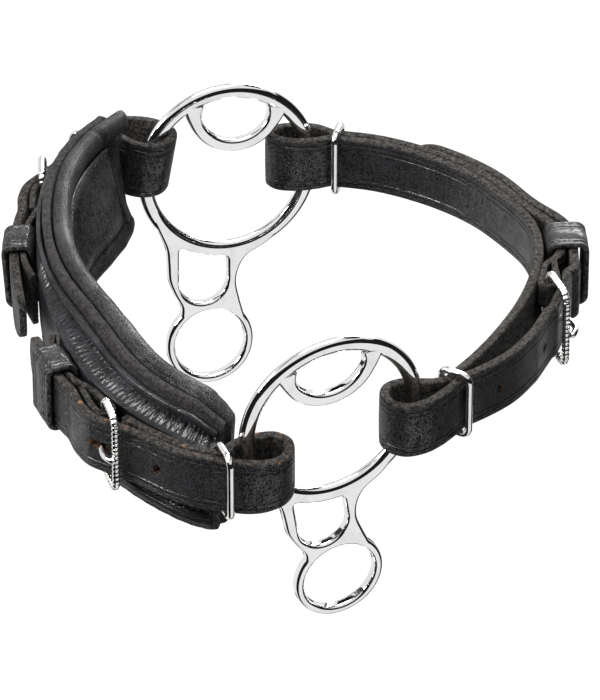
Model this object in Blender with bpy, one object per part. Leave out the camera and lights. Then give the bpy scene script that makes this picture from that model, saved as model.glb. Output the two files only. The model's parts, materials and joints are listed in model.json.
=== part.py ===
"""Bitless bridle: padded noseband, two cast ring cheeks and a buckled curb strap.

All sizes below are in millimetres and become metres when a mesh is made.
X is to the right in the photo, Y away from the viewer and Z up.
The origin is the middle of the loop, at the height of the straps.
"""

import math

import bmesh
import bpy
from mathutils import Vector
from mathutils.geometry import tessellate_polygon

MM = 0.001
SHORTEST = 1.2
UP = Vector((0, 0, 1))

# Leather
STRAP_WIDTH = 22.0
STRAP_THICK = 3.6
CHAPE_THICK = 2.4
EDGE_BEVEL = 0.7
KEEPER_LEATHER = 2.0
KEEPER_LENGTH = 16.0
GAP = 0.3
SLACK = 0.5
KEEPER_CORNER = 3.0
LAYER_GAP = 0.6

# Wire hardware
KEEPER_WIRE = 1.4
WIRE_CORNER = 3.4
WIRE_SLACK = 0.1
TONGUE_CLEARANCE = 0.35
BUCKLE_WIRE = 1.5
BUCKLE_HALF = 15.5
BUCKLE_CORNER = 4.5
TONGUE_WIRE = 1.2
TONGUE_SLOT = 3.8
HOLE_RADIUS = 2.0

# Padded noseband
BASE_HALF = 23.0
BASE_THICK = 3.4
COVER_HALF = 20.0
COVER_SKIN = 1.7
COVER_FLAT = 11.5
COVER_SHOULDER = 13.6
PAD_HALF = 24.5
PAD_NEAR_DEPTH = 8.6
PAD_FAR_DEPTH = 6.0
PAD_END = 7.0
PAD_CHANNEL = 8.0
PAD_FIRST = 3.6
PAD_LAST = 4.6
PAD_OVERHANG = (8.4, 2.6)
OVERHANG_LEAN = 0.14
LINING_HALF = 16.5
LINING_THICK = 1.4
LINING_RECESS = 0.8
BASE_FIRST = 5.5
BASE_LAST = 3.0
COVER_STEP = 2.0
BAND_FIRST = 16.0
BAND_COUNT = 26
CORNER_CUT = 8.5
CORNER_REACH = 22.0
FOOT_CUT = 3.0
FOOT_REACH = 9.0
# Pairs of (share of the noseband's length from its near end, value): how far its outside moves out per
# millimetre up, how far its middle hangs below the straps' middle, and how high the cover stands
NOSE_LEAN = [
    (0.0, -0.2), (0.08, -0.22), (0.2, -0.22), (0.3, -0.26), (0.35, -0.26), (0.41, -0.19), (0.5, -0.05),
    (0.6, 0.04), (0.68, 0.09), (0.77, 0.15), (0.82, 0.2), (0.87, 0.25), (0.92, 0.25), (0.97, 0.15), (1.0, 0.1),
]
NOSE_DROP = [(0.0, 4.3), (0.08, 3.8), (0.2, 2.8), (0.35, 1.5), (0.5, 0.0), (1.0, 0.0)]
COVER_CROWN = [(0.0, 6.0), (0.42, 6.0), (0.55, 4.4), (0.67, 3.8), (0.8, 3.8), (1.0, 3.8)]
# The same for how far the belts on the noseband lean
BELT_LEAN = [(0.0, 0.0), (0.5, 0.0), (0.62, 0.03), (0.75, 0.09), (0.86, 0.13), (1.0, 0.02)]

# Cheeks, in the plane of each plate with the middle of the big ring as zero
RING_OUTER = 36.0
RING_INNER = 30.0
PLATE_THICK = 4.6
PLATE_ROUND = 1.5
SLOT_CENTRE = (3.2, 27.3)
SLOT_RADIUS = 14.4
BAND_RADIUS = 19.4
EYE_CENTRE = (-7.3, -72.7)
EYE_OUTER = 17.4
EYE_INNER = 14.1
NECK_WINDOW_X = -10.0
NECK_WINDOW_HALF = 9.7
NECK_WINDOW_Y = -45.3
NECK_RIGHT = [(7.4, -37.0), (4.3, -42.0), (3.3, -48.0), (4.6, -55.0)]
NECK_LEFT = [(-18.9, -56.2), (-21.6, -50.5), (-23.9, -44.0), (-24.4, -36.5), (-25.0, -30.5)]

# Where the two cheeks hang: centre, then yaw, lean and roll in degrees
CHEEK_FAR = ((-28.0, 97.9, -1.6), 17.1, 7.1, -2.5)
CHEEK_NEAR = ((10.9, -95.7, 15.1), 24.3, -3.4, 9.8)

# Plan line of the noseband's outside, from the near ring to the far ring
NOSE_LINE = [
    (-24.8, -111.4), (-38.0, -107.3), (-52.0, -97.8), (-66.0, -84.0), (-78.5, -65.5), (-88.0, -42.0),
    (-95.9, -11.2), (-98.0, 17.0), (-94.8, 46.3), (-85.4, 71.0), (-76.6, 89.9),
]
# Plan line of the curb strap's inner layer, from the far ring to the near ring
CURB_LINE = [
    (12.0, 104.6), (30.0, 100.0), (50.0, 88.8), (66.0, 74.4), (78.0, 57.0), (86.5, 40.0), (89.3, 22.0),
    (87.5, 3.0), (82.0, -19.0), (74.0, -39.0), (64.5, -57.5), (53.3, -75.0),
]
# Each fold round a rim, as plan points of the strap's middle, from the layer nearer the loop's middle
# to the outer layer, and how far the fold tips outward per millimetre of height
FOLD_NEAR_NOSE = [
    (-27.7, -112.2), (-26.0, -110.4), (-25.0, -107.4), (-19.5, -102.1), (-14.8, -100.2), (-9.2, -99.6),
    (-4.7, -103.2), (-3.9, -109.5), (-6.6, -115.0), (-12.5, -118.4), (-19.0, -118.8),
]
FOLD_FAR_NOSE = [
    (-77.8, 91.6), (-75.4, 93.2), (-72.6, 92.8), (-69.6, 90.4), (-65.8, 86.5), (-59.4, 84.0), (-53.6, 86.0),
    (-50.7, 91.5), (-52.5, 97.5), (-59.0, 101.9), (-67.4, 103.2), (-75.2, 101.6), (-80.6, 97.4),
]
FOLD_FAR_CURB = [
    (6.0, 102.3), (-2.5, 101.2), (-8.8, 103.0), (-11.6, 107.4), (-8.8, 111.6), (-2.0, 113.6), (6.2, 113.0),
]
FOLD_NEAR_CURB = [
    (48.4, -76.6), (42.5, -76.5), (36.4, -76.6), (31.8, -79.6), (30.4, -85.4), (32.8, -91.0),
    (38.0, -93.8), (44.4, -91.6), (50.2, -86.2),
]
TIP_NEAR_NOSE = (0.0, -0.21)
TIP_FAR_NOSE = (0.18, 0.12)
TIP_FAR_CURB = (0.0, 0.11)
TIP_NEAR_CURB = (0.0, -0.03)

# Stations along the noseband line, from the ring that each belt hangs on
NOSE_BELTS = {
    "near": {"bar": 52.0, "front": 14.5, "front_rise": 6.2, "hole": 24.0, "keeper": 84.0, "tip": 108.0,
             "chape": 101.0, "wire": (4.3, 0.7), "leave": 4.9},
    "far": {"bar": 37.0, "front": 14.5, "front_rise": 6.2, "hole": 11.0, "keeper": 74.0, "tip": 110.0,
            "chape": 96.0, "wire": (3.2, 0.0), "leave": 2.4},
}
CURB_BELT = {"bar": 148.0, "front": 15.5, "front_rise": 9.6, "keeper": 119.0, "tip": 29.0, "wire": 2.2,
             "holes": ((176.0, 12.0), (207.0, 9.4))}


def clear_scene():
    for obj in list(bpy.data.objects):
        bpy.data.objects.remove(obj, do_unlink=True)


def material(name, colour, metallic, roughness):
    found = bpy.data.materials.get(name)
    if found:
        return found
    made = bpy.data.materials.new(name)
    made.use_nodes = True
    shader = made.node_tree.nodes["Principled BSDF"]
    shader.inputs["Base Color"].default_value = (*colour, 1)
    shader.inputs["Metallic"].default_value = metallic
    shader.inputs["Roughness"].default_value = roughness
    made.diffuse_color = (*colour, 1)
    return made


def strap_leather():
    return material("strap_leather", (0.022, 0.022, 0.025), 0, 0.42)


def soft_leather():
    return material("soft_leather", (0.03, 0.03, 0.034), 0, 0.5)


def lining_leather():
    return material("lining_leather", (0.045, 0.045, 0.05), 0, 0.36)


def base_leather():
    return material("base_leather", (0.04, 0.035, 0.032), 0, 0.62)


def chrome():
    return material("polished_chrome", (0.78, 0.79, 0.8), 1, 0.08)


def height_nose(y):
    return 4.6 + 0.0255 * y


def height_curb(y):
    return 3.9 - 0.054 * y


def add_object(name, verts, faces, made_of, origin=(0, 0, 0), smooth=38.0):
    """A mesh object from points in millimetres, its origin at the given point."""
    start = Vector(origin)
    mesh = bpy.data.meshes.new(name)
    mesh.from_pydata([(Vector(point) - start) * MM for point in verts], [], faces)
    shape = bmesh.new()
    shape.from_mesh(mesh)
    bmesh.ops.remove_doubles(shape, verts=shape.verts, dist=1e-7)
    bmesh.ops.recalc_face_normals(shape, faces=shape.faces)
    shape.to_mesh(mesh)
    shape.free()
    obj = bpy.data.objects.new(name, mesh)
    bpy.context.scene.collection.objects.link(obj)
    obj.location = start * MM
    obj.data.materials.append(made_of)
    for face in mesh.polygons:
        face.use_smooth = True
    mesh.set_sharp_from_angle(angle=math.radians(smooth))
    return obj


def through(points, step=1.0):
    """A smooth line through points of any number of values: centripetal Catmull-Rom."""
    rows = [list(map(float, point)) for point in points]
    first = [2 * a - b for a, b in zip(rows[0], rows[1])]
    last = [2 * a - b for a, b in zip(rows[-1], rows[-2])]
    rows = [first, *rows, last]
    line = []
    for index in range(1, len(rows) - 2):
        four = rows[index - 1:index + 3]
        knots = [0.0]
        for a, b in zip(four, four[1:]):
            knots.append(knots[-1] + max(math.dist(a[:2], b[:2]), 0.05) ** 0.5)
        count = max(2, math.ceil(math.dist(four[1][:2], four[2][:2]) / step))
        for part in range(count):
            line.append(blend_four(four, knots, knots[1] + (knots[2] - knots[1]) * part / count))
    line.append(rows[-2])
    return line


def blend_four(four, knots, t):
    """The curve's point at t, from four points and their knots."""
    level = four
    for spans in (((0, 1), (1, 2), (2, 3)), ((0, 2), (1, 3)), ((1, 2),)):
        made = []
        for a, b, (low, high) in zip(level, level[1:], spans):
            weight = (t - knots[low]) / (knots[high] - knots[low])
            made.append([p + (q - p) * weight for p, q in zip(a, b)])
        level = made
    return level[0]


def thinned(line, turn=11.0, longest=7.0):
    """Keeps a point of a dense line where it has turned or run on far enough."""
    kept = [line[0]]
    run = 0.0
    turned = 0.0
    for before, here, after in zip(line, line[1:], line[2:]):
        run += math.dist(before[:3], here[:3])
        one = Vector(here[:3]) - Vector(before[:3])
        two = Vector(after[:3]) - Vector(here[:3])
        if one.length > 1e-6 and two.length > 1e-6:
            turned += math.degrees(one.angle(two))
        if turned > turn or run > longest:
            kept.append(here)
            run = 0.0
            turned = 0.0
    kept.append(line[-1])
    if math.dist(kept[-1][:3], kept[-2][:3]) < SHORTEST:
        kept.pop(-2)
    return kept


class Line:
    """A plan line with stations measured along it and offsets to its outer side."""

    def __init__(self, points, height, leans=((0.0, 0.0), (1.0, 0.0))):
        self.points = [Vector(point) for point in through(points, 0.5)]
        self.height = height
        self.leans = leans
        self.along = [0.0]
        for a, b in zip(self.points, self.points[1:]):
            self.along.append(self.along[-1] + (b - a).length)
        self.length = self.along[-1]

    def at(self, station):
        station = min(max(station, -60.0), self.length + 60.0)
        index = 0
        while index < len(self.along) - 2 and self.along[index + 1] < station:
            index += 1
        a, b = self.points[index], self.points[index + 1]
        heading = (b - a).normalized()
        return a + heading * (station - self.along[index]), heading

    def point(self, station, offset):
        here, heading = self.at(station)
        wide = Vector((0, 0))
        for reach in (-4.0, 4.0):
            wide += self.at(min(max(station + reach, 0.0), self.length))[1]
        wide.normalize()
        out = Vector((wide.y, -wide.x))
        if out.dot(here) < 0:
            out = -out
        spot = here + out * offset
        return Vector((spot.x, spot.y, self.height(spot.y)))

    def frame(self, station, toward):
        """Point on the line, heading toward one ring, then outward and up as the belts lean."""
        here, heading = self.at(station)
        heading = heading * toward
        out = Vector((heading.y, -heading.x))
        if out.dot(here) < 0:
            out = -out
        place = Vector((here.x, here.y, self.height(here.y)))
        out = Vector((*out, 0))
        up = (UP + out * along_nose(self.leans, station / self.length)).normalized()
        return place, Vector((*heading, 0)), (out - up * out.dot(up)).normalized(), up


def laid(line, rows):
    """Stations of a strap from rows of (station, offset, thickness) on a plan line."""
    made = []
    for station, offset, thick in through(rows, 4.0):
        spot = line.point(station, offset)
        lean = along_nose(line.leans, station / line.length)
        out = line.point(station, 1.0) - line.point(station, 0.0)
        made.append((spot.x, spot.y, spot.z - offset * lean, out.x * lean, out.y * lean, STRAP_WIDTH, thick))
    return made


def folded(points, height, tip, thick=STRAP_THICK):
    """Stations of a strap round a rim; it tips most in the middle of the fold."""
    made = []
    for index, (x, y) in enumerate(points):
        share = index / (len(points) - 1)
        full = min(1.0, 3 * share, 3 * (1 - share))
        made.append((x, y, height(y), tip[0] * full, tip[1] * full, STRAP_WIDTH, thick))
    return made


def strap_section(width, thick):
    """Half sizes of a strap with its four long edges taken off, as (across, up) pairs."""
    w = width / 2
    t = thick / 2
    c = min(EDGE_BEVEL, t * 0.45, w * 0.45)
    return [(t, w - c), (t - c, w), (c - t, w), (-t, w - c), (-t, c - w), (c - t, -w), (t - c, -w), (t, c - w)]


def strap_mesh(rows):
    """Points and faces of a flat strap swept through its stations."""
    verts, faces = [], []
    count = 8
    for index, row in enumerate(rows):
        here = Vector(row[:3])
        before = Vector(rows[max(index - 1, 0)][:3])
        after = Vector(rows[min(index + 1, len(rows) - 1)][:3])
        heading = (after - before).normalized()
        rise = Vector((row[3], row[4], 1)).normalized()
        across = heading.cross(rise).normalized()
        rise = across.cross(heading).normalized()
        for side, high in strap_section(row[5], row[6]):
            verts.append(here + across * side + rise * high)
    for ring in range(len(rows) - 1):
        for i in range(count):
            j = (i + 1) % count
            faces.append((ring * count + i, ring * count + j, (ring + 1) * count + j, (ring + 1) * count + i))
    faces.append(tuple(range(count)))
    faces.append(tuple(range((len(rows) - 1) * count, len(rows) * count)))
    return verts, faces


def pointed(rows, reach=13.0, narrow=0.3):
    """Draws the last stretch of a strap in to a rounded point."""
    total = 0.0
    made = [list(row) for row in rows]
    for index in range(len(made) - 1, -1, -1):
        if index < len(made) - 1:
            total += math.dist(made[index][:3], made[index + 1][:3])
        if total < reach:
            share = total / reach
            made[index][5] *= narrow + (1 - narrow) * math.sqrt(1 - (1 - share) ** 2)
    return made


def add_strap(name, rows, made_of, tip_end=False):
    dense = through(rows, 1.0)
    if tip_end:
        body = thinned(dense[:-13])
        kept = body + [dense[i] for i in range(len(dense) - 12, len(dense), 3)] + [dense[-1]]
        kept = pointed(kept)
    else:
        kept = thinned(dense)
    verts, faces = strap_mesh(kept)
    return add_object(name, verts, faces, made_of)


def wire_mesh(path, radius, closed, sides=8, normal=None):
    """A round wire along a path; a closed path has no ends."""
    verts, faces = [], []
    count = len(path)
    for index, here in enumerate(path):
        if closed:
            before, after = path[index - 1], path[(index + 1) % count]
        else:
            before, after = path[max(index - 1, 0)], path[min(index + 1, count - 1)]
        heading = (after - before).normalized()
        one = heading.cross(normal).normalized()
        two = one.cross(heading).normalized()
        for k in range(sides):
            angle = 2 * math.pi * (k + 0.5) / sides
            verts.append(here + one * radius * math.cos(angle) + two * radius * math.sin(angle))
    for ring in range(count if closed else count - 1):
        other = (ring + 1) % count
        for i in range(sides):
            j = (i + 1) % sides
            faces.append((ring * sides + i, ring * sides + j, other * sides + j, other * sides + i))
    if not closed:
        faces.append(tuple(range(sides)))
        faces.append(tuple(range((count - 1) * sides, count * sides)))
    return verts, faces


def rounded_box(low, high, half, corner, steps=3):
    """Points (across, up) of a rounded rectangle from low to high across and half up and down."""
    corners = [(high - corner, half - corner, 0), (low + corner, half - corner, 90)]
    corners += [(low + corner, corner - half, 180), (high - corner, corner - half, 270)]
    made = []
    for x, y, start in corners:
        for k in range(steps + 1):
            angle = math.radians(start + 90 * k / steps)
            made.append((x + corner * math.cos(angle), y + corner * math.sin(angle)))
    return made


def add_wire_keeper(name, line, station, toward, low, high, slant=0.0):
    """An oval of wire round two layers between low and high; its outer side may lie nearer the ring."""
    place, heading, out, up = line.frame(station, toward)
    reach = GAP + KEEPER_WIRE
    half = STRAP_WIDTH / 2 + reach + WIRE_SLACK
    aside = out + heading * slant
    path = [
        place + aside * across + up * high_up
        for across, high_up in rounded_box(low - reach, high + reach, half, WIRE_CORNER)
    ]
    verts, faces = wire_mesh(path, KEEPER_WIRE, True, 8, aside.cross(up))
    middle = place + aside * (low + high) / 2
    return add_object(name, verts, faces, chrome(), middle, 60)


def add_leather_keeper(name, line, station, toward, low, high):
    """A flat leather loop round two layers that lie between low and high on a line."""
    place, heading, out, up = line.frame(station, toward)
    reach = GAP + KEEPER_LEATHER / 2
    half = STRAP_WIDTH / 2 + reach + SLACK
    ring = rounded_box(low - reach, high + reach, half, KEEPER_CORNER)
    verts, faces = [], []
    count = len(ring)
    section = strap_section(KEEPER_LENGTH, KEEPER_LEATHER)
    for index, (x, y) in enumerate(ring):
        before, after = ring[index - 1], ring[(index + 1) % count]
        slope = Vector((after[0] - before[0], after[1] - before[1])).normalized()
        side = Vector((slope.y, -slope.x))
        for thick, long in section:
            verts.append(place + out * (x + side.x * thick) + up * (y + side.y * thick) + heading * long)
    for k in range(count):
        other = (k + 1) % count
        for i in range(8):
            j = (i + 1) % 8
            faces.append((k * 8 + i, k * 8 + j, other * 8 + j, other * 8 + i))
    middle = place + out * (low + high) / 2
    return add_object(name, verts, faces, strap_leather(), middle)


def bar_rise(under):
    """Height of a buckle's bar over what the chape lies on."""
    return under + GAP + CHAPE_THICK + GAP + BUCKLE_WIRE


def add_buckle(name, line, belt, toward, under):
    """A rounded wire frame that turns on its bar."""
    place, heading, out, up = line.frame(belt["bar"], toward)
    bar = place + out * bar_rise(under)
    arm = heading * belt["front"] + out * belt["front_rise"]
    length = arm.length
    arm.normalize()
    path = [
        bar + arm * across + up * high
        for across, high in rounded_box(0.0, length, BUCKLE_HALF, BUCKLE_CORNER, 4)
    ]
    verts, faces = wire_mesh(path, BUCKLE_WIRE, True, 10, arm.cross(up))
    return add_object(name, verts, faces, chrome(), bar, 60)


def tongue_points(belt):
    """Tongue in plan from its eye round the bar to its tip over the front bar."""
    radius = BUCKLE_WIRE + TONGUE_CLEARANCE + TONGUE_WIRE
    made = []
    for degrees in range(345, 89, -32):
        angle = math.radians(degrees)
        made.append((radius * math.cos(angle), radius * math.sin(angle)))
    front = belt["front"]
    rise = belt["front_rise"] + BUCKLE_WIRE + GAP + TONGUE_WIRE
    made += [(front * 0.28, radius + (rise - radius) * 0.25), (front * 0.55, radius + (rise - radius) * 0.72)]
    made += [(front * 0.8, rise), (front + 0.6, rise + 0.15), (front + 3.2, rise - 0.7)]
    return made


def add_tongue(name, line, belt, toward, under):
    place, heading, out, up = line.frame(belt["bar"], toward)
    bar = place + out * bar_rise(under)
    dense = through(tongue_points(belt), 0.8)
    kept = [dense[0]]
    for spot in dense[1:]:
        if math.dist(spot, kept[-1]) > 1.7:
            kept.append(spot)
    path = [bar + heading * x + out * y for x, y in kept]
    verts, faces = wire_mesh(path, TONGUE_WIRE, False, 8, up)
    return add_object(name, verts, faces, chrome(), bar, 60)


def add_cutter(name, place, x_axis, y_axis, z_axis, size, round_ends=False):
    """A hidden box or slot shape that a Boolean takes away."""
    length, width, depth = size
    outline = []
    if round_ends:
        radius = width / 2
        for centre, start in ((length / 2 - radius, -90), (radius - length / 2, 90)):
            for k in range(7):
                angle = math.radians(start + 30 * k)
                outline.append((centre + radius * math.cos(angle), radius * math.sin(angle)))
    else:
        a, b = length / 2, width / 2
        outline = [(a, -b), (a, b), (-a, b), (-a, -b)]
    verts = []
    for side in (-depth / 2, depth / 2):
        for x, y in outline:
            verts.append(place + x_axis * x + y_axis * y + z_axis * side)
    count = len(outline)
    faces = [tuple(range(count)), tuple(range(count, 2 * count))]
    for i in range(count):
        j = (i + 1) % count
        faces.append((i, j, count + j, count + i))
    obj = add_object(name, verts, faces, strap_leather())
    obj.hide_render = True
    obj.display_type = "WIRE"
    return obj


def cut(obj, cutter):
    modifier = obj.modifiers.new("cut_" + cutter.name, "BOOLEAN")
    modifier.operation = "DIFFERENCE"
    modifier.solver = "EXACT"
    modifier.object = cutter


def add_hole(obj, name, line, station, offset):
    """A punched round hole right through one layer of a strap."""
    place, heading, out, up = line.frame(station, 1)
    size = (2 * HOLE_RADIUS, 2 * HOLE_RADIUS, STRAP_THICK + 2 * GAP)
    cut(obj, add_cutter(name, place + out * offset, heading, up, out, size, True))


def hook_rows(line, belt, toward, under):
    """Chape end: skived leather back over the bar, round it and under it."""
    bar = bar_rise(under)
    radius = BUCKLE_WIRE + GAP + CHAPE_THICK / 2
    flat = under + GAP + CHAPE_THICK / 2
    made = [(-15.0, flat + CHAPE_THICK + GAP), (-9.0, flat + CHAPE_THICK + GAP + 1.3)]
    made.append((-4.0, bar + radius - 0.5))
    for degrees in (90, 60, 30, 0, -30, -60, -90):
        angle = math.radians(degrees)
        made.append((radius * math.cos(angle), bar + radius * math.sin(angle)))
    made.append((-5.0, flat))
    made.append((-12.0, flat))
    return [(belt["bar"] + toward * x, d, CHAPE_THICK) for x, d in made]


def over_buckle_rows(belt, toward, under, thick=STRAP_THICK):
    """The pierced layer under the front bar, over the chape's roll and down again."""
    top = bar_rise(under) + BUCKLE_WIRE + GAP + CHAPE_THICK + GAP + thick / 2
    front = bar_rise(under) + belt["front_rise"] - BUCKLE_WIRE - GAP - thick / 2
    made = [(belt["front"] + 3.0, front - 0.9), (belt["front"], front - 0.25), (8.0, (front + top) / 2 - 0.5)]
    made += [(0.0, top), (-8.0, top - 0.8)]
    return [(belt["bar"] + toward * x, d, thick) for x, d in made]


def pierce(obj, name, line, belt, toward, under):
    """The slot that the tongue passes through."""
    place, heading, out, up = line.frame(belt["bar"], toward)
    middle = place + heading * (belt["front"] * 0.36) + out * (bar_rise(under) + 6.0)
    size = (belt["front"] * 0.98, TONGUE_SLOT, 14.0)
    cut(obj, add_cutter(name, middle, heading, up, out, size, True))


def slot_hook(obj, name, line, belt, toward, under):
    """The slot in the chape's roll for the eye of the tongue."""
    place, heading, out, up = line.frame(belt["bar"], toward)
    middle = place + heading * 1.0 + out * (bar_rise(under) + 1.2)
    cut(obj, add_cutter(name, middle, heading, up, out, (11.4, TONGUE_SLOT, 12.5), True))


def add_nose_belt(side, line):
    """One side's billet, chape, buckle, tongue and keepers on the noseband."""
    belt = dict(NOSE_BELTS[side])
    toward = -1 if side == "near" else 1
    ring_end = 0.0 if side == "near" else line.length

    def station(value):
        return ring_end - toward * value

    inner = GAP + SLACK / 2 + STRAP_THICK / 2
    outer = inner + STRAP_THICK + GAP
    fold = FOLD_NEAR_NOSE if side == "near" else FOLD_FAR_NOSE
    tip = TIP_NEAR_NOSE if side == "near" else TIP_FAR_NOSE
    start = belt["bar"] - 8.5
    keeper_low = 2 * GAP + KEEPER_LEATHER + SLACK
    chape_at_keeper = keeper_low + CHAPE_THICK / 2
    billet_at_keeper = keeper_low + CHAPE_THICK + GAP + SLACK + STRAP_THICK / 2
    keeper_high = billet_at_keeper + STRAP_THICK / 2 + SLACK
    world = dict(belt, bar=station(belt["bar"]))

    rows = [(station(s), inner, STRAP_THICK) for s in (start, start * 0.5, belt["leave"])]
    path = laid(line, rows) + folded(fold, line.height, tip)
    rows = [(station(s), outer, STRAP_THICK) for s in (2.4, (belt["bar"] - belt["front"]) * 0.55)]
    path += laid(line, rows)
    path += laid(line, over_buckle_rows(world, toward, 0.0))
    on_chape = 2 * GAP + CHAPE_THICK * 2 + STRAP_THICK / 2 + GAP
    rows = [(belt["bar"] + 16.0, on_chape + 0.4), (belt["keeper"] - 10.0, billet_at_keeper)]
    rows += [(belt["keeper"] + 9.0, billet_at_keeper), (belt["tip"], billet_at_keeper - 0.8)]
    path += laid(line, [(station(s), d, STRAP_THICK) for s, d in rows])
    billet = add_strap(f"nose_billet_{side}", path, strap_leather(), True)
    pierce(billet, f"cut_billet_{side}", line, world, toward, 0.0)
    add_hole(billet, f"cut_hole_{side}", line, station(belt["hole"]), outer)

    rows = hook_rows(line, world, toward, 0.0)
    rows += [(station(belt["keeper"] - 10.0), chape_at_keeper, CHAPE_THICK)]
    rows += [(station(belt["keeper"] + 10.5), chape_at_keeper, CHAPE_THICK)]
    rows += [(station(belt["chape"]), GAP + CHAPE_THICK / 2, CHAPE_THICK)]
    chape = add_strap(f"nose_chape_{side}", laid(line, rows), strap_leather())
    slot_hook(chape, f"cut_chape_{side}", line, world, toward, 0.0)

    add_buckle(f"nose_buckle_{side}", line, world, toward, 0.0)
    add_tongue(f"nose_tongue_{side}", line, world, toward, 0.0)
    add_leather_keeper(f"nose_keeper_{side}", line, station(belt["keeper"]), toward, keeper_low - SLACK, keeper_high)
    high = outer + STRAP_THICK / 2
    at, slant = belt["wire"]
    add_wire_keeper(f"nose_wire_{side}", line, station(at), toward, GAP, high + GAP, slant)


def add_curb(line):
    """The curb strap: one long belt through both rings, with its buckle and keepers."""
    belt = CURB_BELT
    toward = 1
    under = STRAP_THICK / 2
    middle = STRAP_THICK + GAP
    outer = 2 * middle
    keeper_low = under + 2 * GAP + KEEPER_LEATHER + 3 * SLACK
    middle_at_keeper = keeper_low + STRAP_THICK / 2
    outer_at_keeper = middle_at_keeper + STRAP_THICK + GAP + 1.4
    keeper_high = outer_at_keeper + STRAP_THICK / 2 + SLACK
    rows = hook_rows(line, belt, toward, under)
    before_keeper = (belt["bar"] - 12.0 - belt["keeper"]) * 0.53
    past_keeper = belt["keeper"] - KEEPER_LENGTH / 2 - 1.0
    rows += [(belt["keeper"] + before_keeper, middle_at_keeper, STRAP_THICK)]
    rows += [(past_keeper, middle_at_keeper, STRAP_THICK)]
    rows += [(past_keeper * share, middle, STRAP_THICK) for share in (0.86, 0.64, 0.41, 0.18, 0.004)]
    path = laid(line, rows)
    fold = folded(FOLD_FAR_CURB, line.height, TIP_FAR_CURB)
    path += fold[::-1]
    rows = [(s, 0.0, STRAP_THICK) for s in (0.4, 20.0, 45.0, 70.0, 95.0, 120.0, 145.0, 170.0, 195.0)]
    rows += [(line.length - 0.4, 0.0, STRAP_THICK)]
    path += laid(line, rows)
    path += folded(FOLD_NEAR_CURB, line.height, TIP_NEAR_CURB)
    rows = [(line.length - 0.4, middle, STRAP_THICK), (line.length - 4.0, middle, STRAP_THICK)]
    rows += [(line.length - 13.0, 6.6, STRAP_THICK)]
    rows += [(line.length - 28.0, 10.4, STRAP_THICK), (line.length - 44.0, 11.6, STRAP_THICK)]
    path += laid(line, rows)
    path += laid(line, over_buckle_rows(belt, toward, under))
    free = belt["bar"] - 8.0 - belt["keeper"]
    rows = [(belt["keeper"] + free * 0.81, outer_at_keeper + 1.2), (belt["keeper"] + free * 0.38, outer_at_keeper)]
    rows += [(past_keeper, outer_at_keeper - 0.2)]
    rows += [(past_keeper + (belt["tip"] - past_keeper) * share, outer) for share in (0.21, 0.49, 0.74, 1.0)]
    path += laid(line, [(s, d, STRAP_THICK) for s, d in rows])
    strap = add_strap("curb_strap", path, strap_leather(), True)
    pierce(strap, "cut_curb", line, belt, toward, under)
    slot_hook(strap, "cut_curb_hook", line, belt, toward, under)
    for index, (station, offset) in enumerate(belt["holes"]):
        add_hole(strap, f"cut_curb_hole_{index}", line, station, offset)
    add_buckle("curb_buckle", line, belt, toward, under)
    add_tongue("curb_tongue", line, belt, toward, under)
    add_leather_keeper("curb_keeper", line, belt["keeper"], toward, keeper_low - 2 * SLACK, keeper_high + 2 * SLACK)
    high = middle + STRAP_THICK / 2
    add_wire_keeper("curb_wire_far", line, belt["wire"], -1, -under - SLACK, high + SLACK)
    add_wire_keeper("curb_wire_near", line, line.length - belt["wire"], 1, -under - SLACK, high + SLACK)


def along_nose(pairs, share):
    """The value at a share of the noseband's length, from (share, value) pairs."""
    for (a, low), (b, high) in zip(pairs, pairs[1:]):
        if share <= b:
            return low + (high - low) * (share - a) / (b - a)
    return pairs[-1][1]


def band_stations(line, first, last, ends):
    """The stations that all bands share, with each band's own ones from its ends inward."""
    inner, outer = BAND_FIRST, line.length - BAND_FIRST
    made = [first + depth for depth in ends]
    for k in range(BAND_COUNT):
        made.append(inner + (outer - inner) * k / (BAND_COUNT - 1))
    return made + [last - depth for depth in reversed(ends)]


def add_band(name, line, first, last, section, made_of, ends=(0.0, 4.0)):
    """A band along the noseband: section gives (offset, height) points at each station."""
    verts, faces = [], []
    stations = band_stations(line, first, last, ends)
    for station in stations:
        share = station / line.length
        lean = along_nose(NOSE_LEAN, share)
        drop = along_nose(NOSE_DROP, share)
        place, heading = line.frame(station, 1)[:2]
        spread = line.point(station, 1.0) - line.point(station, 0.0)
        spread.z = 0
        spread.normalize()
        shape = section(share, min(station - first, last - station))
        count = len(shape)
        for offset, high in shape:
            high = trimmed(high, station)
            ahead = overhang(high, last - station) if name == "nose_pad" else 0.0
            aside = offset + high * lean - OVERHANG_LEAN * ahead
            verts.append(place + heading * ahead + spread * aside + UP * (high - drop))
    for ring in range(len(stations) - 1):
        for i in range(count):
            j = (i + 1) % count
            faces.append((ring * count + i, ring * count + j, (ring + 1) * count + j, (ring + 1) * count + i))
    faces.append(tuple(range(count)))
    faces.append(tuple(range((len(stations) - 1) * count, len(stations) * count)))
    return add_object(name, verts, faces, made_of)


def trimmed(high, station):
    """A height of the noseband with its two corners at the near end drawn in."""
    if high > 0:
        gone = CORNER_CUT * max(0.0, 1 - station / CORNER_REACH) ** 1.5
        return high * (1 - gone / PAD_HALF)
    gone = FOOT_CUT * max(0.0, 1 - station / FOOT_REACH) ** 1.5
    return high * (1 - gone / PAD_HALF)


def overhang(high, left):
    """How far the pad's two corners at the far end reach on past the folded strap."""
    reach = PAD_OVERHANG[0] if high > 0 else PAD_OVERHANG[1]
    clear = min(1.0, max(0.0, (abs(high) - STRAP_WIDTH / 2 - 2.0) / 7.0))
    return reach * clear * max(0.0, 1 - left / CORNER_REACH)


def face_points(offset, low, high):
    """Points of one flat face of a band from low to high, close enough to follow its twist."""
    count = 5
    return [(offset, low + (high - low) * k / (count - 1)) for k in range(count)]


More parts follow.
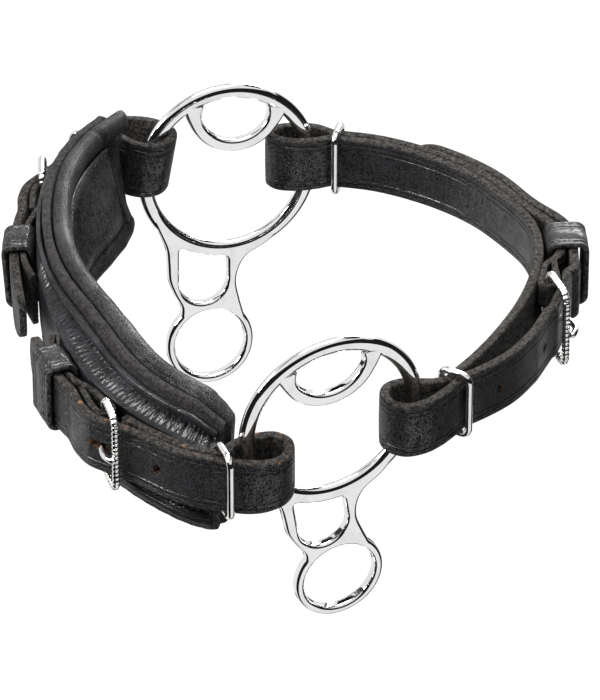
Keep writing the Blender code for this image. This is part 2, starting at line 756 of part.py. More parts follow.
def bevelled_band(outer, thick, high, c):
    """Section of a flat band from its outer face inward, its four long edges taken off."""
    inner = outer - thick
    made = face_points(outer, c - high, high - c) + [(outer - c, high), (inner + c, high)]
    return made + face_points(inner, high - c, c - high) + [(inner + c, -high), (outer - c, -high)]


def base_section(share, left):
    return bevelled_band(-along_nose(COVER_CROWN, share), BASE_THICK, BASE_HALF, EDGE_BEVEL)


def cover_section(share, left):
    """Raised cover: thin and stitched along both edges, full and flat where the belts lie."""
    lean = along_nose(NOSE_LEAN, share)
    drop = along_nose(NOSE_DROP, share)
    crown = along_nose(COVER_CROWN, share)
    seat = LAYER_GAP - crown
    skin = seat + COVER_SKIN
    flange = COVER_HALF - 3.0
    belt = along_nose(BELT_LEAN, share)
    face = []
    for high in (-COVER_FLAT, 1.0 - COVER_FLAT, COVER_FLAT - 1.0, COVER_FLAT):
        edge = 0.2 if abs(high) == COVER_FLAT else 0.0
        face.append((high * belt - (high + drop) * lean - edge, high + drop))
    low = -COVER_SHOULDER
    high = min(COVER_SHOULDER + drop, flange - 0.6)
    made = [(seat, -COVER_HALF), (skin, -COVER_HALF), (skin, -flange)]
    made.append(((skin + face[0][0]) / 2, (low + face[0][1]) / 2 if face[0][1] > low else low))
    made += face
    made.append(((skin + face[-1][0]) / 2, (high + face[-1][1]) / 2))
    return made + [(skin, flange), (skin, COVER_HALF)] + face_points(seat, COVER_HALF, -COVER_HALF)[:-1]


def pad_depth(share):
    return PAD_NEAR_DEPTH + (PAD_FAR_DEPTH - PAD_NEAR_DEPTH) * share


def pad_section(share, left):
    """Soft rolled pad behind the base leather, fuller along its two edges and rounded down at its ends."""
    back = -along_nose(COVER_CROWN, share) - BASE_THICK - LAYER_GAP
    full = 1.0
    if left < PAD_END:
        full = 0.6 + 0.4 * math.sqrt(1 - (1 - left / PAD_END) ** 2)
    deep = pad_depth(share) * full
    floor = middle_depth(share) if left >= PAD_CHANNEL else deep * 0.86
    half = PAD_HALF * (0.88 + 0.12 * full)
    channel = LINING_HALF + GAP
    made = [(back, half * 0.91), (back - deep * 0.22, half * 0.98), (back - deep * 0.5, half)]
    made += [(back - deep * 0.8, half * 0.965), (back - deep, half * 0.88), (back - deep * 0.97, half * 0.78)]
    made += [(back - deep * 0.86, channel + 1.0), (back - floor, channel)]
    middle = face_points(back - floor, channel, -channel)[1:-1]
    return made + middle + [(d, -h) for d, h in reversed(made)] + face_points(back, -half * 0.91, half * 0.91)[1:-1]


def middle_depth(share):
    """Depth of the pad's middle, which leaves the lining a little below the rolls."""
    return pad_depth(share) - LINING_RECESS - LINING_THICK - LAYER_GAP


def lining_section(share, left):
    back = -along_nose(COVER_CROWN, share) - BASE_THICK - 2 * LAYER_GAP - middle_depth(share)
    return bevelled_band(back, LINING_THICK, LINING_HALF - GAP, 0.4)


def add_noseband(line):
    last = line.length
    add_band("nose_base", line, BASE_FIRST, last - BASE_LAST, base_section, base_leather())
    add_band("nose_cover", line, BASE_FIRST + COVER_STEP, last - BASE_LAST - COVER_STEP, cover_section, soft_leather())
    pad_ends = (0.0, 1.6, 4.0, PAD_CHANNEL - 0.9, PAD_CHANNEL)
    add_band("nose_pad", line, PAD_FIRST, last - PAD_LAST, pad_section, soft_leather(), pad_ends)
    lining_first = PAD_FIRST + PAD_CHANNEL + GAP
    lining_last = last - PAD_LAST - PAD_CHANNEL - GAP
    add_band("nose_lining", line, lining_first, lining_last, lining_section, lining_leather(), (0.0, 2.0))


def arc(centre, radius, start, end, step=9.0):
    count = max(2, round(abs(end - start) / step))
    made = []
    for k in range(count + 1):
        angle = math.radians(start + (end - start) * k / count)
        made.append((centre[0] + radius * math.cos(angle), centre[1] + radius * math.sin(angle)))
    return made


def crossing(radius, other_centre, other_radius):
    """Angles, about the origin and about the other centre, where two circles meet on each side."""
    far = math.hypot(*other_centre)
    along = (radius ** 2 - other_radius ** 2 + far ** 2) / (2 * far)
    wide = math.sqrt(radius ** 2 - along ** 2)
    unit = (other_centre[0] / far, other_centre[1] / far)
    made = []
    for side in (1, -1):
        x = unit[0] * along + side * unit[1] * wide
        y = unit[1] * along - side * unit[0] * wide
        own = math.degrees(math.atan2(y, x))
        other = math.degrees(math.atan2(y - other_centre[1], x - other_centre[0]))
        made.append((own, other, (x, y)))
    return made


def corner_between(a, corner, b, steps=3):
    """Points of a soft corner from a to b that heads for the corner."""
    made = []
    for k in range(1, steps):
        t = k / steps
        made.append(tuple((1 - t) ** 2 * p + 2 * t * (1 - t) * c + t * t * q for p, c, q in zip(a, corner, b)))
    return made


def cheek_outline():
    """Outer edge: big ring, neck and small ring, anticlockwise."""
    big = arc((0, 0), RING_OUTER, -66, 220)
    small_left = arc(EYE_CENTRE, EYE_OUTER, 132, 398)
    right = list(reversed(NECK_RIGHT))
    return big + list(reversed(NECK_LEFT)) + small_left + right


def ring_opening():
    right, left = crossing(RING_INNER, SLOT_CENTRE, BAND_RADIUS)
    big = arc((0, 0), RING_INNER, left[0] + 6, right[0] + 360 - 6)
    band = arc(SLOT_CENTRE, BAND_RADIUS, right[1] - 8, left[1] + 8)
    made = big + corner_between(big[-1], right[2], band[0]) + band
    return made + corner_between(band[-1], left[2], big[0])


def slot_opening():
    right, left = crossing(RING_INNER, SLOT_CENTRE, SLOT_RADIUS)
    top = arc((0, 0), RING_INNER, right[0] + 5, left[0] - 5)
    low = arc(SLOT_CENTRE, SLOT_RADIUS, left[1] + 11, right[1] + 360 - 11, 14)
    made = top + corner_between(top[-1], left[2], low[0]) + low
    return made + corner_between(low[-1], right[2], top[0])


def neck_opening():
    """Window of the neck: its top follows the big ring and its foot is round."""
    left = NECK_WINDOW_X - NECK_WINDOW_HALF
    right = NECK_WINDOW_X + NECK_WINDOW_HALF
    left_top = -math.sqrt(RING_OUTER ** 2 - left ** 2)
    right_top = -math.sqrt(RING_OUTER ** 2 - right ** 2)
    first = math.degrees(math.atan2(left_top, left)) + 3
    last = math.degrees(math.atan2(right_top, right)) - 3
    top = arc((0, 0), RING_OUTER, first, last, 7)
    foot = arc((NECK_WINDOW_X, NECK_WINDOW_Y), NECK_WINDOW_HALF, 0, -180, 18)
    right_side = [(right, right_top - 2.0)]
    left_side = [(left, left_top - 2.0)]
    made = top + corner_between(top[-1], (right, right_top), right_side[0]) + right_side + foot + left_side
    return made + corner_between(left_side[0], (left, left_top), top[0])


def moved_in(points, distance, material_inside):
    """Each point of a closed outline moved into the metal."""
    area = 0.0
    for (ax, ay), (bx, by) in zip(points, points[1:] + points[:1]):
        area += ax * by - ay * bx
    turn = 1 if (area > 0) == material_inside else -1
    made = []
    count = len(points)
    for index, (x, y) in enumerate(points):
        before, after = points[index - 1], points[(index + 1) % count]
        one = Vector((x - before[0], y - before[1])).normalized()
        two = Vector((after[0] - x, after[1] - y)).normalized()
        normal = Vector((-(one.y + two.y), one.x + two.x)).normalized()
        stretch = 1 / max(0.6, normal.dot(Vector((-one.y, one.x))))
        made.append((x + normal.x * turn * distance * stretch, y + normal.y * turn * distance * stretch))
    return made


def cheek_axes(pose):
    """Centre of the big ring, then the plate's own right, up and front directions."""
    centre, yaw, lean, roll = pose
    yaw = math.radians(yaw)
    lean = math.radians(lean)
    roll = math.radians(roll)
    right = Vector((math.cos(yaw), math.sin(yaw), 0))
    flat = Vector((math.sin(yaw), -math.cos(yaw), 0))
    front = flat * math.cos(lean) + UP * math.sin(lean)
    high = UP * math.cos(lean) - flat * math.sin(lean)
    across = right * math.cos(roll) + high * math.sin(roll)
    upward = high * math.cos(roll) - right * math.sin(roll)
    return Vector(centre), across, upward, front


def add_cheek(name, pose):
    """One cast cheek: outline and four openings, flat faces with rounded edges."""
    outlines = [(cheek_outline(), True)]
    outlines += [(make(), False) for make in (ring_opening, slot_opening, neck_opening)]
    outlines.append((arc(EYE_CENTRE, EYE_INNER, 0, 348, 12), False))
    half = PLATE_THICK / 2
    soft = PLATE_ROUND
    levels = [(soft, -half), (0.3 * soft, 0.3 * soft - half), (0.0, soft - half)]
    levels = levels + [(inset, -high) for inset, high in reversed(levels)]
    centre, across, upward, front = cheek_axes(pose)
    verts, faces = [], []
    caps = {0: [], len(levels) - 1: []}
    for outline, metal_inside in outlines:
        count = len(outline)
        starts = []
        for level, (inset, high) in enumerate(levels):
            starts.append(len(verts))
            ring = moved_in(outline, inset, metal_inside)
            for x, y in ring:
                verts.append(centre + across * x + upward * y + front * high)
            if level in caps:
                caps[level].append([(Vector((x, y, 0)), starts[-1] + i) for i, (x, y) in enumerate(ring)])
        for low, high in zip(starts, starts[1:]):
            for i in range(count):
                j = (i + 1) % count
                faces.append((low + i, low + j, high + j, high + i))
    for rings in caps.values():
        order = [index for ring in rings for spot, index in ring]
        for triangle in tessellate_polygon([[spot for spot, index in ring] for ring in rings]):
            faces.append(tuple(order[corner] for corner in triangle))
    return add_object(name, verts, faces, chrome(), centre, 50)


def build():
    clear_scene()
    nose = Line(NOSE_LINE, height_nose, BELT_LEAN)
    curb = Line(CURB_LINE, height_curb)
    add_noseband(nose)
    for side in ("near", "far"):
        add_nose_belt(side, nose)
    add_curb(curb)
    add_cheek("cheek_far", CHEEK_FAR)
    add_cheek("cheek_near", CHEEK_NEAR)


build()
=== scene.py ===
"""Dresses the bitless bridle: polished cheeks, black leather belts and a padded noseband.

Values are in millimetres and become metres when a piece is made. X is to the right in the photo,
Y away from the viewer and Z up. The plan lines are the ones that the solids follow.
"""

import json
import math

import bpy
import numpy as np
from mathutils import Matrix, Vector

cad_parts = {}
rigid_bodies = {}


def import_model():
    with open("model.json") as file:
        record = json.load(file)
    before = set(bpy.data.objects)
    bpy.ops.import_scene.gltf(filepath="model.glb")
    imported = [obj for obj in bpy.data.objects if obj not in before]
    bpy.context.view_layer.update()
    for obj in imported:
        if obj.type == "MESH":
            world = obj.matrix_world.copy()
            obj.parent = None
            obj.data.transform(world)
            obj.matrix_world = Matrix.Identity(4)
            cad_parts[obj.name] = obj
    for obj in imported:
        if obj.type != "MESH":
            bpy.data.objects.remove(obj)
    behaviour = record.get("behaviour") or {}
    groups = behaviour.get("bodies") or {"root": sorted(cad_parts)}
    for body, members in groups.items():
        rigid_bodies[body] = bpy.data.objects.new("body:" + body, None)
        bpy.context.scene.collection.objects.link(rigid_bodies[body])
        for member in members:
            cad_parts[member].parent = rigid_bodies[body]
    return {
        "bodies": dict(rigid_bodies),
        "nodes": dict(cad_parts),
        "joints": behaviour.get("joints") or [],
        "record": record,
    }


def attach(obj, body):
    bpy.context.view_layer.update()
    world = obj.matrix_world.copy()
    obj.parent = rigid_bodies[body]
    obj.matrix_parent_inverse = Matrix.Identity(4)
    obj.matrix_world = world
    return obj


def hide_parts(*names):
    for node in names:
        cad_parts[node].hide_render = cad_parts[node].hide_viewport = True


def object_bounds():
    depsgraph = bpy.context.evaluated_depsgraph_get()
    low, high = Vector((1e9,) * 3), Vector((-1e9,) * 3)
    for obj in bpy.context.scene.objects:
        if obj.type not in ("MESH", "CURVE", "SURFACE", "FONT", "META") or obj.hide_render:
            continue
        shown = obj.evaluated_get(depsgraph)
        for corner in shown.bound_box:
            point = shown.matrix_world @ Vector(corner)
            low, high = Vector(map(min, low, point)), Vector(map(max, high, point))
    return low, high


MM = 0.001
UP = np.array((0.0, 0.0, 1.0))

# Leather
STRAP_WIDTH = 22.0
STRAP_THICK = 3.6
CHAPE_THICK = 2.4
KEEPER_LEATHER = 2.0
KEEPER_LENGTH = 16.0
GAP = 0.3
SLACK = 0.5
KEEPER_CORNER = 3.0
LAYER_GAP = 0.6
POINT_LONG = 13.0
CREASE_IN = (2.3, 4.3)
CREASE_DEEP = (0.5, 0.32)

# Wire hardware
KEEPER_WIRE = 1.4
WIRE_CORNER = 3.4
WIRE_SLACK = 0.1
TONGUE_CLEARANCE = 0.35
BUCKLE_WIRE = 1.5
BUCKLE_HALF = 15.5
BUCKLE_CORNER = 4.5
RIB_PITCH = 1.9
TONGUE_WIRE = 1.2
TONGUE_SLOT = 3.8
RIB_DEEP = 0.24
HOLE_RADIUS = 1.9
# Where the middle of a tongue's hole lies and how long the hole is, as shares of the buckle's reach
TONGUE_HOLE = (0.345, 0.6)

# Padded noseband
BASE_HALF = 23.0
BASE_THICK = 3.4
COVER_HALF = 20.0
COVER_SKIN = 1.7
COVER_FLAT = 11.5
PAD_HALF = 24.5
PAD_NEAR_DEPTH = 8.6
PAD_FAR_DEPTH = 6.0
PAD_END = 7.0
PAD_CHANNEL = 8.0
PAD_FIRST = 3.6
PAD_LAST = 4.6
PAD_OVERHANG = (8.4, 2.6)
# Outline of the pad's roll: (share of its depth, share of its half height) pairs
PAD_ROLL = [
    (0.0, 0.905), (0.05, 0.95), (0.2, 0.982), (0.4, 0.998), (0.6, 0.995), (0.8, 0.972), (0.93, 0.935),
    (1.0, 0.885), (1.0, 0.83), (0.975, 0.79), (0.93, 0.755),
]
OVERHANG_LEAN = 0.14
LINING_HALF = 16.5
LINING_THICK = 1.4
LINING_RECESS = 0.8
PANEL_SEAM_IN = 1.9
BASE_FIRST = 5.5
BASE_LAST = 3.0
COVER_STEP = 2.0
COVER_END = 5.0
SEAM_HIGH = 16.2
SEAM_PITCH = 2.6
# (share of the way to the seam, share of the face's height left, how much the stitches pinch) rows
PUCKERS = ((0.25, 0.97, 0.0), (0.5, 0.9, 0.0), (0.7, 0.78, 0.1), (0.86, 0.55, 0.4), (1.0, -0.2, 0.0))
ROLL_CREASE = 217.0
CORNER_CUT = 8.5
CORNER_REACH = 22.0
FOOT_CUT = 3.0
FOOT_REACH = 9.0
# Pairs of (share of the noseband's length from its near end, value): how far its outside moves out per
# millimetre up, how far its middle hangs below the straps' middle, and how high the cover stands
NOSE_LEAN = [
    (0.0, -0.2), (0.08, -0.22), (0.2, -0.22), (0.3, -0.26), (0.35, -0.26), (0.41, -0.19), (0.5, -0.05),
    (0.6, 0.04), (0.68, 0.09), (0.77, 0.15), (0.82, 0.2), (0.87, 0.25), (0.92, 0.25), (0.97, 0.15),
    (1.0, 0.1),
]
NOSE_DROP = [(0.0, 4.3), (0.08, 3.8), (0.2, 2.8), (0.35, 1.5), (0.5, 0.0), (1.0, 0.0)]
COVER_CROWN = [(0.0, 6.0), (0.42, 6.0), (0.55, 4.4), (0.67, 3.8), (0.8, 3.8), (1.0, 3.8)]
# The same for how far the belts on the noseband lean
BELT_LEAN = [(0.0, 0.0), (0.5, 0.0), (0.62, 0.03), (0.75, 0.09), (0.86, 0.13), (1.0, 0.02)]

# Cheeks, in the plane of each plate with the middle of the big ring as zero
RING_OUTER = 36.0
RING_INNER = 30.0
PLATE_THICK = 4.6
PLATE_ROUND = 1.5
SLOT_CENTRE = (3.2, 27.3)
SLOT_RADIUS = 14.4
BAND_RADIUS = 19.4
EYE_CENTRE = (-7.3, -72.7)
EYE_OUTER = 17.4
EYE_INNER = 14.1
FOOT_BURIED = (31.3, 34.8)
NECK_WINDOW_X = -10.0
NECK_WINDOW_HALF = 9.7
NECK_WINDOW_Y = -45.3
NECK_RIGHT = [(7.4, -37.0), (4.3, -42.0), (3.3, -48.0), (4.6, -55.0)]
NECK_LEFT = [(-18.9, -56.2), (-21.6, -50.5), (-23.9, -44.0), (-24.4, -36.5), (-25.0, -30.5)]
CHEEK_FAR = ((-28.0, 97.9, -1.6), 17.1, 7.1, -2.5)
CHEEK_NEAR = ((10.9, -95.7, 15.1), 24.3, -3.4, 9.8)

# Height of the straps' middle where y is 0, and how much it gains per millimetre of y
NOSE_RISE = (4.6, 0.0255)
CURB_RISE = (3.9, -0.054)
# Plan line of the noseband's outside, then of the curb strap's inner layer
NOSE_LINE = [
    (-24.8, -111.4), (-38.0, -107.3), (-52.0, -97.8), (-66.0, -84.0), (-78.5, -65.5), (-88.0, -42.0),
    (-95.9, -11.2), (-98.0, 17.0), (-94.8, 46.3), (-85.4, 71.0), (-76.6, 89.9),
]
CURB_LINE = [
    (12.0, 104.6), (30.0, 100.0), (50.0, 88.8), (66.0, 74.4), (78.0, 57.0), (86.5, 40.0), (89.3, 22.0),
    (87.5, 3.0), (82.0, -19.0), (74.0, -39.0), (64.5, -57.5), (53.3, -75.0),
]
FOLD_NEAR_NOSE = [
    (-27.7, -112.2), (-26.0, -110.4), (-25.0, -107.4), (-19.5, -102.1), (-14.8, -100.2), (-9.2, -99.6),
    (-4.7, -103.2), (-3.9, -109.5), (-6.6, -115.0), (-12.5, -118.4), (-19.0, -118.8),
]
FOLD_FAR_NOSE = [
    (-77.8, 91.6), (-75.4, 93.2), (-72.6, 92.8), (-69.6, 90.4), (-65.8, 86.5), (-59.4, 84.0), (-53.6, 86.0),
    (-50.7, 91.5), (-52.5, 97.5), (-59.0, 101.9), (-67.4, 103.2), (-75.2, 101.6), (-80.6, 97.4),
]
FOLD_FAR_CURB = [
    (6.0, 102.3), (-2.5, 101.2), (-8.8, 103.0), (-11.6, 107.4), (-8.8, 111.6), (-2.0, 113.6), (6.2, 113.0),
]
FOLD_NEAR_CURB = [
    (48.4, -76.6), (42.5, -76.5), (36.4, -76.6), (31.8, -79.6), (30.4, -85.4), (32.8, -91.0),
    (38.0, -93.8), (44.4, -91.6), (50.2, -86.2),
]
TIP_NEAR_NOSE = (0.0, -0.21)
TIP_FAR_NOSE = (0.18, 0.12)
TIP_FAR_CURB = (0.0, 0.11)
TIP_NEAR_CURB = (0.0, -0.03)
NOSE_BELTS = {
    "near": {"fold": FOLD_NEAR_NOSE, "tips": TIP_NEAR_NOSE, "bar": 52.0, "front": 14.5, "front_rise": 6.2,
             "hole": 24.0, "keeper": 84.0, "tip": 108.0, "chape": 101.0, "wire": (4.3, 0.7), "leave": 4.9},
    "far": {"fold": FOLD_FAR_NOSE, "tips": TIP_FAR_NOSE, "bar": 37.0, "front": 14.5, "front_rise": 6.2,
            "hole": 11.0, "keeper": 74.0, "tip": 110.0, "chape": 96.0, "wire": (3.2, 0.0), "leave": 2.4},
}
CURB_BELT = {"bar": 148.0, "front": 15.5, "front_rise": 9.6, "keeper": 119.0, "tip": 29.0, "wire": 2.2,
             "holes": ((176.0, 12.0), (207.0, 9.4))}

# Camera, worked out from the photograph
CAMERA_AWAY = 2550.0
CAMERA_HEIGHT_ANGLE = 34.0
CAMERA_AIM = (0.0, 136.3, -111.5)
CAMERA_LENS = 327.9
CAMERA_SENSOR = 36.0

# What the metal mirrors: dark cards at shares of a turn from the right, then dark bands as
# (front -1 or back 1, low, high), in a white room
CARDS = [(-0.04, 0.12), (-0.49, -0.28)]
BANDS = [(-1, -0.12, 0.58), (1, 0.68, 0.84)]
ROOM_WHITE = (0.93, 0.93, 0.935)
ROOM_DARK = (0.012, 0.012, 0.014)
AMBIENT = 0.55
# (name, place in metres, sides in metres, watts)
LAMPS = [
    ("top", (0.0, 0.3, 1.4), (1.0, 0.7), 26),
    ("left", (-1.3, -0.3, 0.8), (0.7, 0.6), 20),
    ("right_back", (0.5, 1.3, 0.7), (0.8, 0.5), 22),
]

# Finishes
GRAIN_SIZE = 1450.0
SOFT_GRAIN_SIZE = 1350.0
GRAIN_BUMP = 0.0002
COAT_IOR = 1.7
LEATHER_SPECULAR = 0.16
FLECK = (0.42, 0.17, 0.06)
# Soft leathers: (pores, coat roughness, coat weight, dark colour, light colour of the painted glints and
# sheen)
GLOVES = {
    "soft": (0.6, 0.4, 0.4, (0.0016, 0.0017, 0.0021), (0.026, 0.0265, 0.029)),
    "cover": (0.3, 0.22, 0.85, (0.0014, 0.0016, 0.002), (0.02, 0.0215, 0.026)),
    "lining": (0.15, 0.26, 0.9, (0.006, 0.0062, 0.007), (0.075, 0.075, 0.078)),
}


def shared(pairs, share):
    """The value at a share of a line's length, from (share, value) pairs."""
    return float(np.interp(share, [pair[0] for pair in pairs], [pair[1] for pair in pairs]))


def through(points, step=1.0):
    """A smooth line through points of any number of values."""
    rows = [np.array(point, float) for point in points]
    rows = [2 * rows[0] - rows[1], *rows, 2 * rows[-1] - rows[-2]]
    line = []
    for index in range(1, len(rows) - 2):
        p0, p1, p2, p3 = rows[index - 1:index + 3]
        t1 = max(math.dist(p0[:2], p1[:2]), 0.05) ** 0.5
        t2 = t1 + max(math.dist(p1[:2], p2[:2]), 0.05) ** 0.5
        t3 = t2 + max(math.dist(p2[:2], p3[:2]), 0.05) ** 0.5
        count = max(2, math.ceil(math.dist(p1[:2], p2[:2]) / step))
        for part in range(count):
            t = t1 + (t2 - t1) * part / count
            a1 = p0 + (p1 - p0) * (t / t1)
            a2 = p1 + (p2 - p1) * ((t - t1) / (t2 - t1))
            a3 = p2 + (p3 - p2) * ((t - t2) / (t3 - t2))
            b1 = a1 + (a2 - a1) * (t / t2)
            b2 = a2 + (a3 - a2) * ((t - t1) / (t3 - t1))
            line.append(b1 + (b2 - b1) * ((t - t1) / (t2 - t1)))
    line.append(rows[-2])
    return line


def run_along(points):
    """Distance along a path at each of its points."""
    steps = np.linalg.norm(np.diff(points, axis=0), axis=1)
    return np.concatenate([[0.0], np.cumsum(steps)])


def centred(points):
    """Distance along a path at each of its points, from the path's middle."""
    run = run_along(points)
    return run - run[-1] / 2


def in_space(way):
    return np.array((*way, 0.0))


class Line:
    """A plan line with stations measured along it and offsets to its outer side."""

    def __init__(self, points, rise, leans=((0.0, 0.0), (1.0, 0.0))):
        self.points = np.array(through(points, 0.5))
        self.rise = rise
        self.leans = leans
        self.along = run_along(self.points)
        self.length = self.along[-1]

    def height(self, y):
        return self.rise[0] + self.rise[1] * y

    def at(self, station):
        index = int(np.clip(np.searchsorted(self.along, station, side="right") - 1, 0, len(self.along) - 2))
        a, b = self.points[index], self.points[index + 1]
        heading = (b - a) / np.linalg.norm(b - a)
        return a + heading * (station - self.along[index]), heading

    def outward(self, station):
        wide = self.at(max(station - 4.0, 0.0))[1] + self.at(min(station + 4.0, self.length))[1]
        return self.side_of(wide / np.linalg.norm(wide), self.at(station)[0])

    def side_of(self, heading, here):
        out = np.array((heading[1], -heading[0]))
        return -out if out @ here < 0 else out

    def place(self, here):
        return np.array((here[0], here[1], self.height(here[1])))

    def point(self, station, offset):
        return self.place(self.at(station)[0] + self.outward(station) * offset)

    def lean(self, station):
        return shared(self.leans, station / self.length)

    def frame(self, station, toward):
        """Point on the line, heading toward one ring, then outward and up as the belts lean."""
        here, heading = self.at(station)
        heading = heading * toward
        out = in_space(self.side_of(heading, here))
        up = unit(UP + out * self.lean(station))
        return self.place(here), in_space(heading), unit(out - up * (out @ up)), up


def laid(line, rows, usual=STRAP_THICK):
    """Stations of a strap from (station, offset) rows on a plan line; a row may add its own thickness."""
    made = []
    for station, offset, thick in through([(*row, usual)[:3] for row in rows], 4.0):
        x, y, z = line.point(station, offset)
        lean = line.lean(station)
        out = line.outward(station)
        made.append((x, y, z - offset * lean, out[0] * lean, out[1] * lean, thick))
    return made


def folded(points, height, tip):
    """Stations of a strap round a rim; it tips most in the middle of the fold."""
    made = []
    for index, (x, y) in enumerate(points):
        share = index / (len(points) - 1)
        full = min(1.0, 3 * share, 3 * (1 - share))
        made.append((x, y, height(y), tip[0] * full, tip[1] * full, STRAP_THICK))
    return made


def unit(rows):
    return rows / np.maximum(np.linalg.norm(rows, axis=-1, keepdims=True), 1e-9)


def on_circle(radius, degrees):
    return (radius * math.cos(math.radians(degrees)), radius * math.sin(math.radians(degrees)))


def arc(centre, radius, start, end, step=2.5):
    """Points of an arc about every step degrees, both ends among them."""
    count = max(2, round(abs(end - start) / step))
    points = [on_circle(radius, start + (end - start) * k / count) for k in range(count + 1)]
    return [(centre[0] + x, centre[1] + y) for x, y in points]


def deselect():
    bpy.ops.object.select_all(action="DESELECT")


def pick(obj):
    """Makes obj the only selected and the active object."""
    deselect()
    obj.select_set(True)
    bpy.context.view_layer.objects.active = obj


def edit(obj, *steps):
    """Runs edit mode steps on everything in obj; a step is an operator and its settings."""
    pick(obj)
    bpy.ops.object.mode_set(mode="EDIT")
    bpy.ops.mesh.select_all(action="SELECT")
    for step, settings in steps:
        step(**settings)
    bpy.ops.object.mode_set(mode="OBJECT")


def clean(obj, nearest):
    """Merges the points that are nearer than that, in metres, and turns the faces outward."""
    edit(
        obj,
        (bpy.ops.mesh.remove_doubles, {"threshold": nearest}),
        (bpy.ops.mesh.normals_make_consistent, {"inside": False}),
    )


def skin(name, grid, made_of, closed=False, across=None, angle=40.0):
    """A grid wrapped into a closed skin. grid holds points in millimetres, [along, around]; the first and
    last point around are the same. An open skin gets its two ends filled."""
    along, around = grid.shape[0] - 1, grid.shape[1] - 1
    deselect()
    bpy.ops.mesh.primitive_grid_add(x_subdivisions=along, y_subdivisions=around, size=1)
    obj = bpy.context.object
    obj.name = name
    obj.data.name = name
    mesh = obj.data
    flat = np.empty(len(mesh.vertices) * 3)
    mesh.vertices.foreach_get("co", flat)
    flat = flat.reshape(-1, 3) + 0.5
    i = np.rint(flat[:, 0] * along).astype(int)
    j = np.rint(flat[:, 1] * around).astype(int)
    mesh.vertices.foreach_set("co", (grid[i, j] * MM).ravel())
    run = run_along(grid.mean(axis=1))
    if across is None:
        across = centred(grid[along // 2])
    corners = np.empty(len(mesh.loops), int)
    mesh.loops.foreach_get("vertex_index", corners)
    uv = np.stack([run[i[corners]], across[j[corners]]], axis=1) * MM
    mesh.uv_layers[0].data.foreach_set("uv", uv.ravel())
    edit(obj, (bpy.ops.mesh.remove_doubles, {"threshold": 1e-7}))
    if not closed:
        edit(
            obj,
            (bpy.ops.mesh.select_all, {"action": "DESELECT"}),
            (bpy.ops.mesh.select_non_manifold, {}),
            (bpy.ops.mesh.fill_holes, {"sides": 0}),
        )
    edit(obj, (bpy.ops.mesh.normals_make_consistent, {"inside": False}))
    pick(obj)
    bpy.ops.object.shade_smooth_by_angle(angle=math.radians(angle))
    obj.data.materials.clear()
    obj.data.materials.append(made_of)
    return obj


def drill(obj, place, axis, radius, depth, wall):
    """A punched round hole; its wall gets its own material."""
    deselect()
    bpy.ops.mesh.primitive_cylinder_add(vertices=28, radius=radius * MM, depth=depth * MM)
    cutter = bpy.context.object
    turn = Vector(axis).to_track_quat("Z", "Y")
    cutter.data.transform(turn.to_matrix().to_4x4())
    cutter.data.materials.append(wall)
    cutter.location = Vector(place) * MM
    take_away(obj, cutter)


def joined(obj, other, operation, solver, transfer=False):
    """Applies a Boolean of obj with another piece, which is then gone."""
    pick(obj)
    made = obj.modifiers.new("join", "BOOLEAN")
    made.operation = operation
    made.solver = solver
    if transfer:
        made.material_mode = "TRANSFER"
    made.object = other
    bpy.ops.object.modifier_apply(modifier=made.name)
    bpy.data.objects.remove(other, do_unlink=True)


def take_away(obj, cutter):
    joined(obj, cutter, "DIFFERENCE", "EXACT", True)


def slot_through(obj, place, along, out, length, width, depth, wall):
    """A round-ended slot cut through a strap."""
    deselect()
    bpy.ops.mesh.primitive_cylinder_add(vertices=24, radius=width / 2 * MM, depth=depth * MM)
    cutter = bpy.context.object
    reach = (length - width) / 2
    for vertex in cutter.data.vertices:
        vertex.co.x += math.copysign(reach * MM, vertex.co.x) if abs(vertex.co.x) > 1e-6 else 0.0
    up = np.cross(out, along)
    for vertex in cutter.data.vertices:
        x, y, z = vertex.co
        vertex.co = Vector(along * x + up * y + out * z) + Vector(place) * MM
    cutter.data.materials.append(wall)
    edit(cutter, (bpy.ops.mesh.normals_make_consistent, {"inside": False}))
    take_away(obj, cutter)


def put(tree, socket, value):
    """Links an output to an input, or sets the input. A colour is given without its alpha."""
    if isinstance(value, bpy.types.NodeSocket):
        tree.links.new(value, socket)
    elif value is not None:
        socket.default_value = (*value, 1) if socket.type == "RGBA" else value


def feed(tree, made, **values):
    """Puts a value in each input that is named; an underscore stands for a space."""
    for key, value in values.items():
        put(tree, made.inputs[key.replace("_", " ")], value)
    return made


def node(tree, kind, **values):
    return feed(tree, tree.nodes.new(kind), **values)


def sums(tree, operation, a, b=None, clamp=False):
    made = tree.nodes.new("ShaderNodeMath")
    made.operation = operation
    made.use_clamp = clamp
    put(tree, made.inputs[0], a)
    put(tree, made.inputs[1], b)
    return made.outputs[0]


def times(tree, a, b):
    return sums(tree, "MULTIPLY", a, b)


def plus(tree, a, b, clamp=False):
    return sums(tree, "ADD", a, b, clamp)


def ranged(tree, value, low, high, to_low=0.0, to_high=1.0):
    """The value eased from its range onto another."""
    made = node(tree, "ShaderNodeMapRange", Value=value, From_Min=low, From_Max=high)
    feed(tree, made, To_Min=to_low, To_Max=to_high)
    made.interpolation_type = "SMOOTHSTEP"
    return made.outputs[0]


def within(tree, value, low, high, soft):
    """1 where the value is between low and high and 0 elsewhere, with soft ends."""
    over = ranged(tree, value, low - soft, low + soft)
    return times(tree, over, ranged(tree, value, high - soft, high + soft, 1.0, 0.0))


def mixed(tree, share, a, b):
    """A colour between a and b; each is a colour or a socket."""
    made = tree.nodes.new("ShaderNodeMix")
    made.data_type = "RGBA"
    for index, value in ((0, share), (6, a), (7, b)):
        put(tree, made.inputs[index], value)
    return made.outputs[2]


def mixed_shaders(tree, share, a, b):
    made = tree.nodes.new("ShaderNodeMixShader")
    for socket, value in zip(made.inputs, (share, a, b)):
        put(tree, socket, value)
    return made.outputs[0]


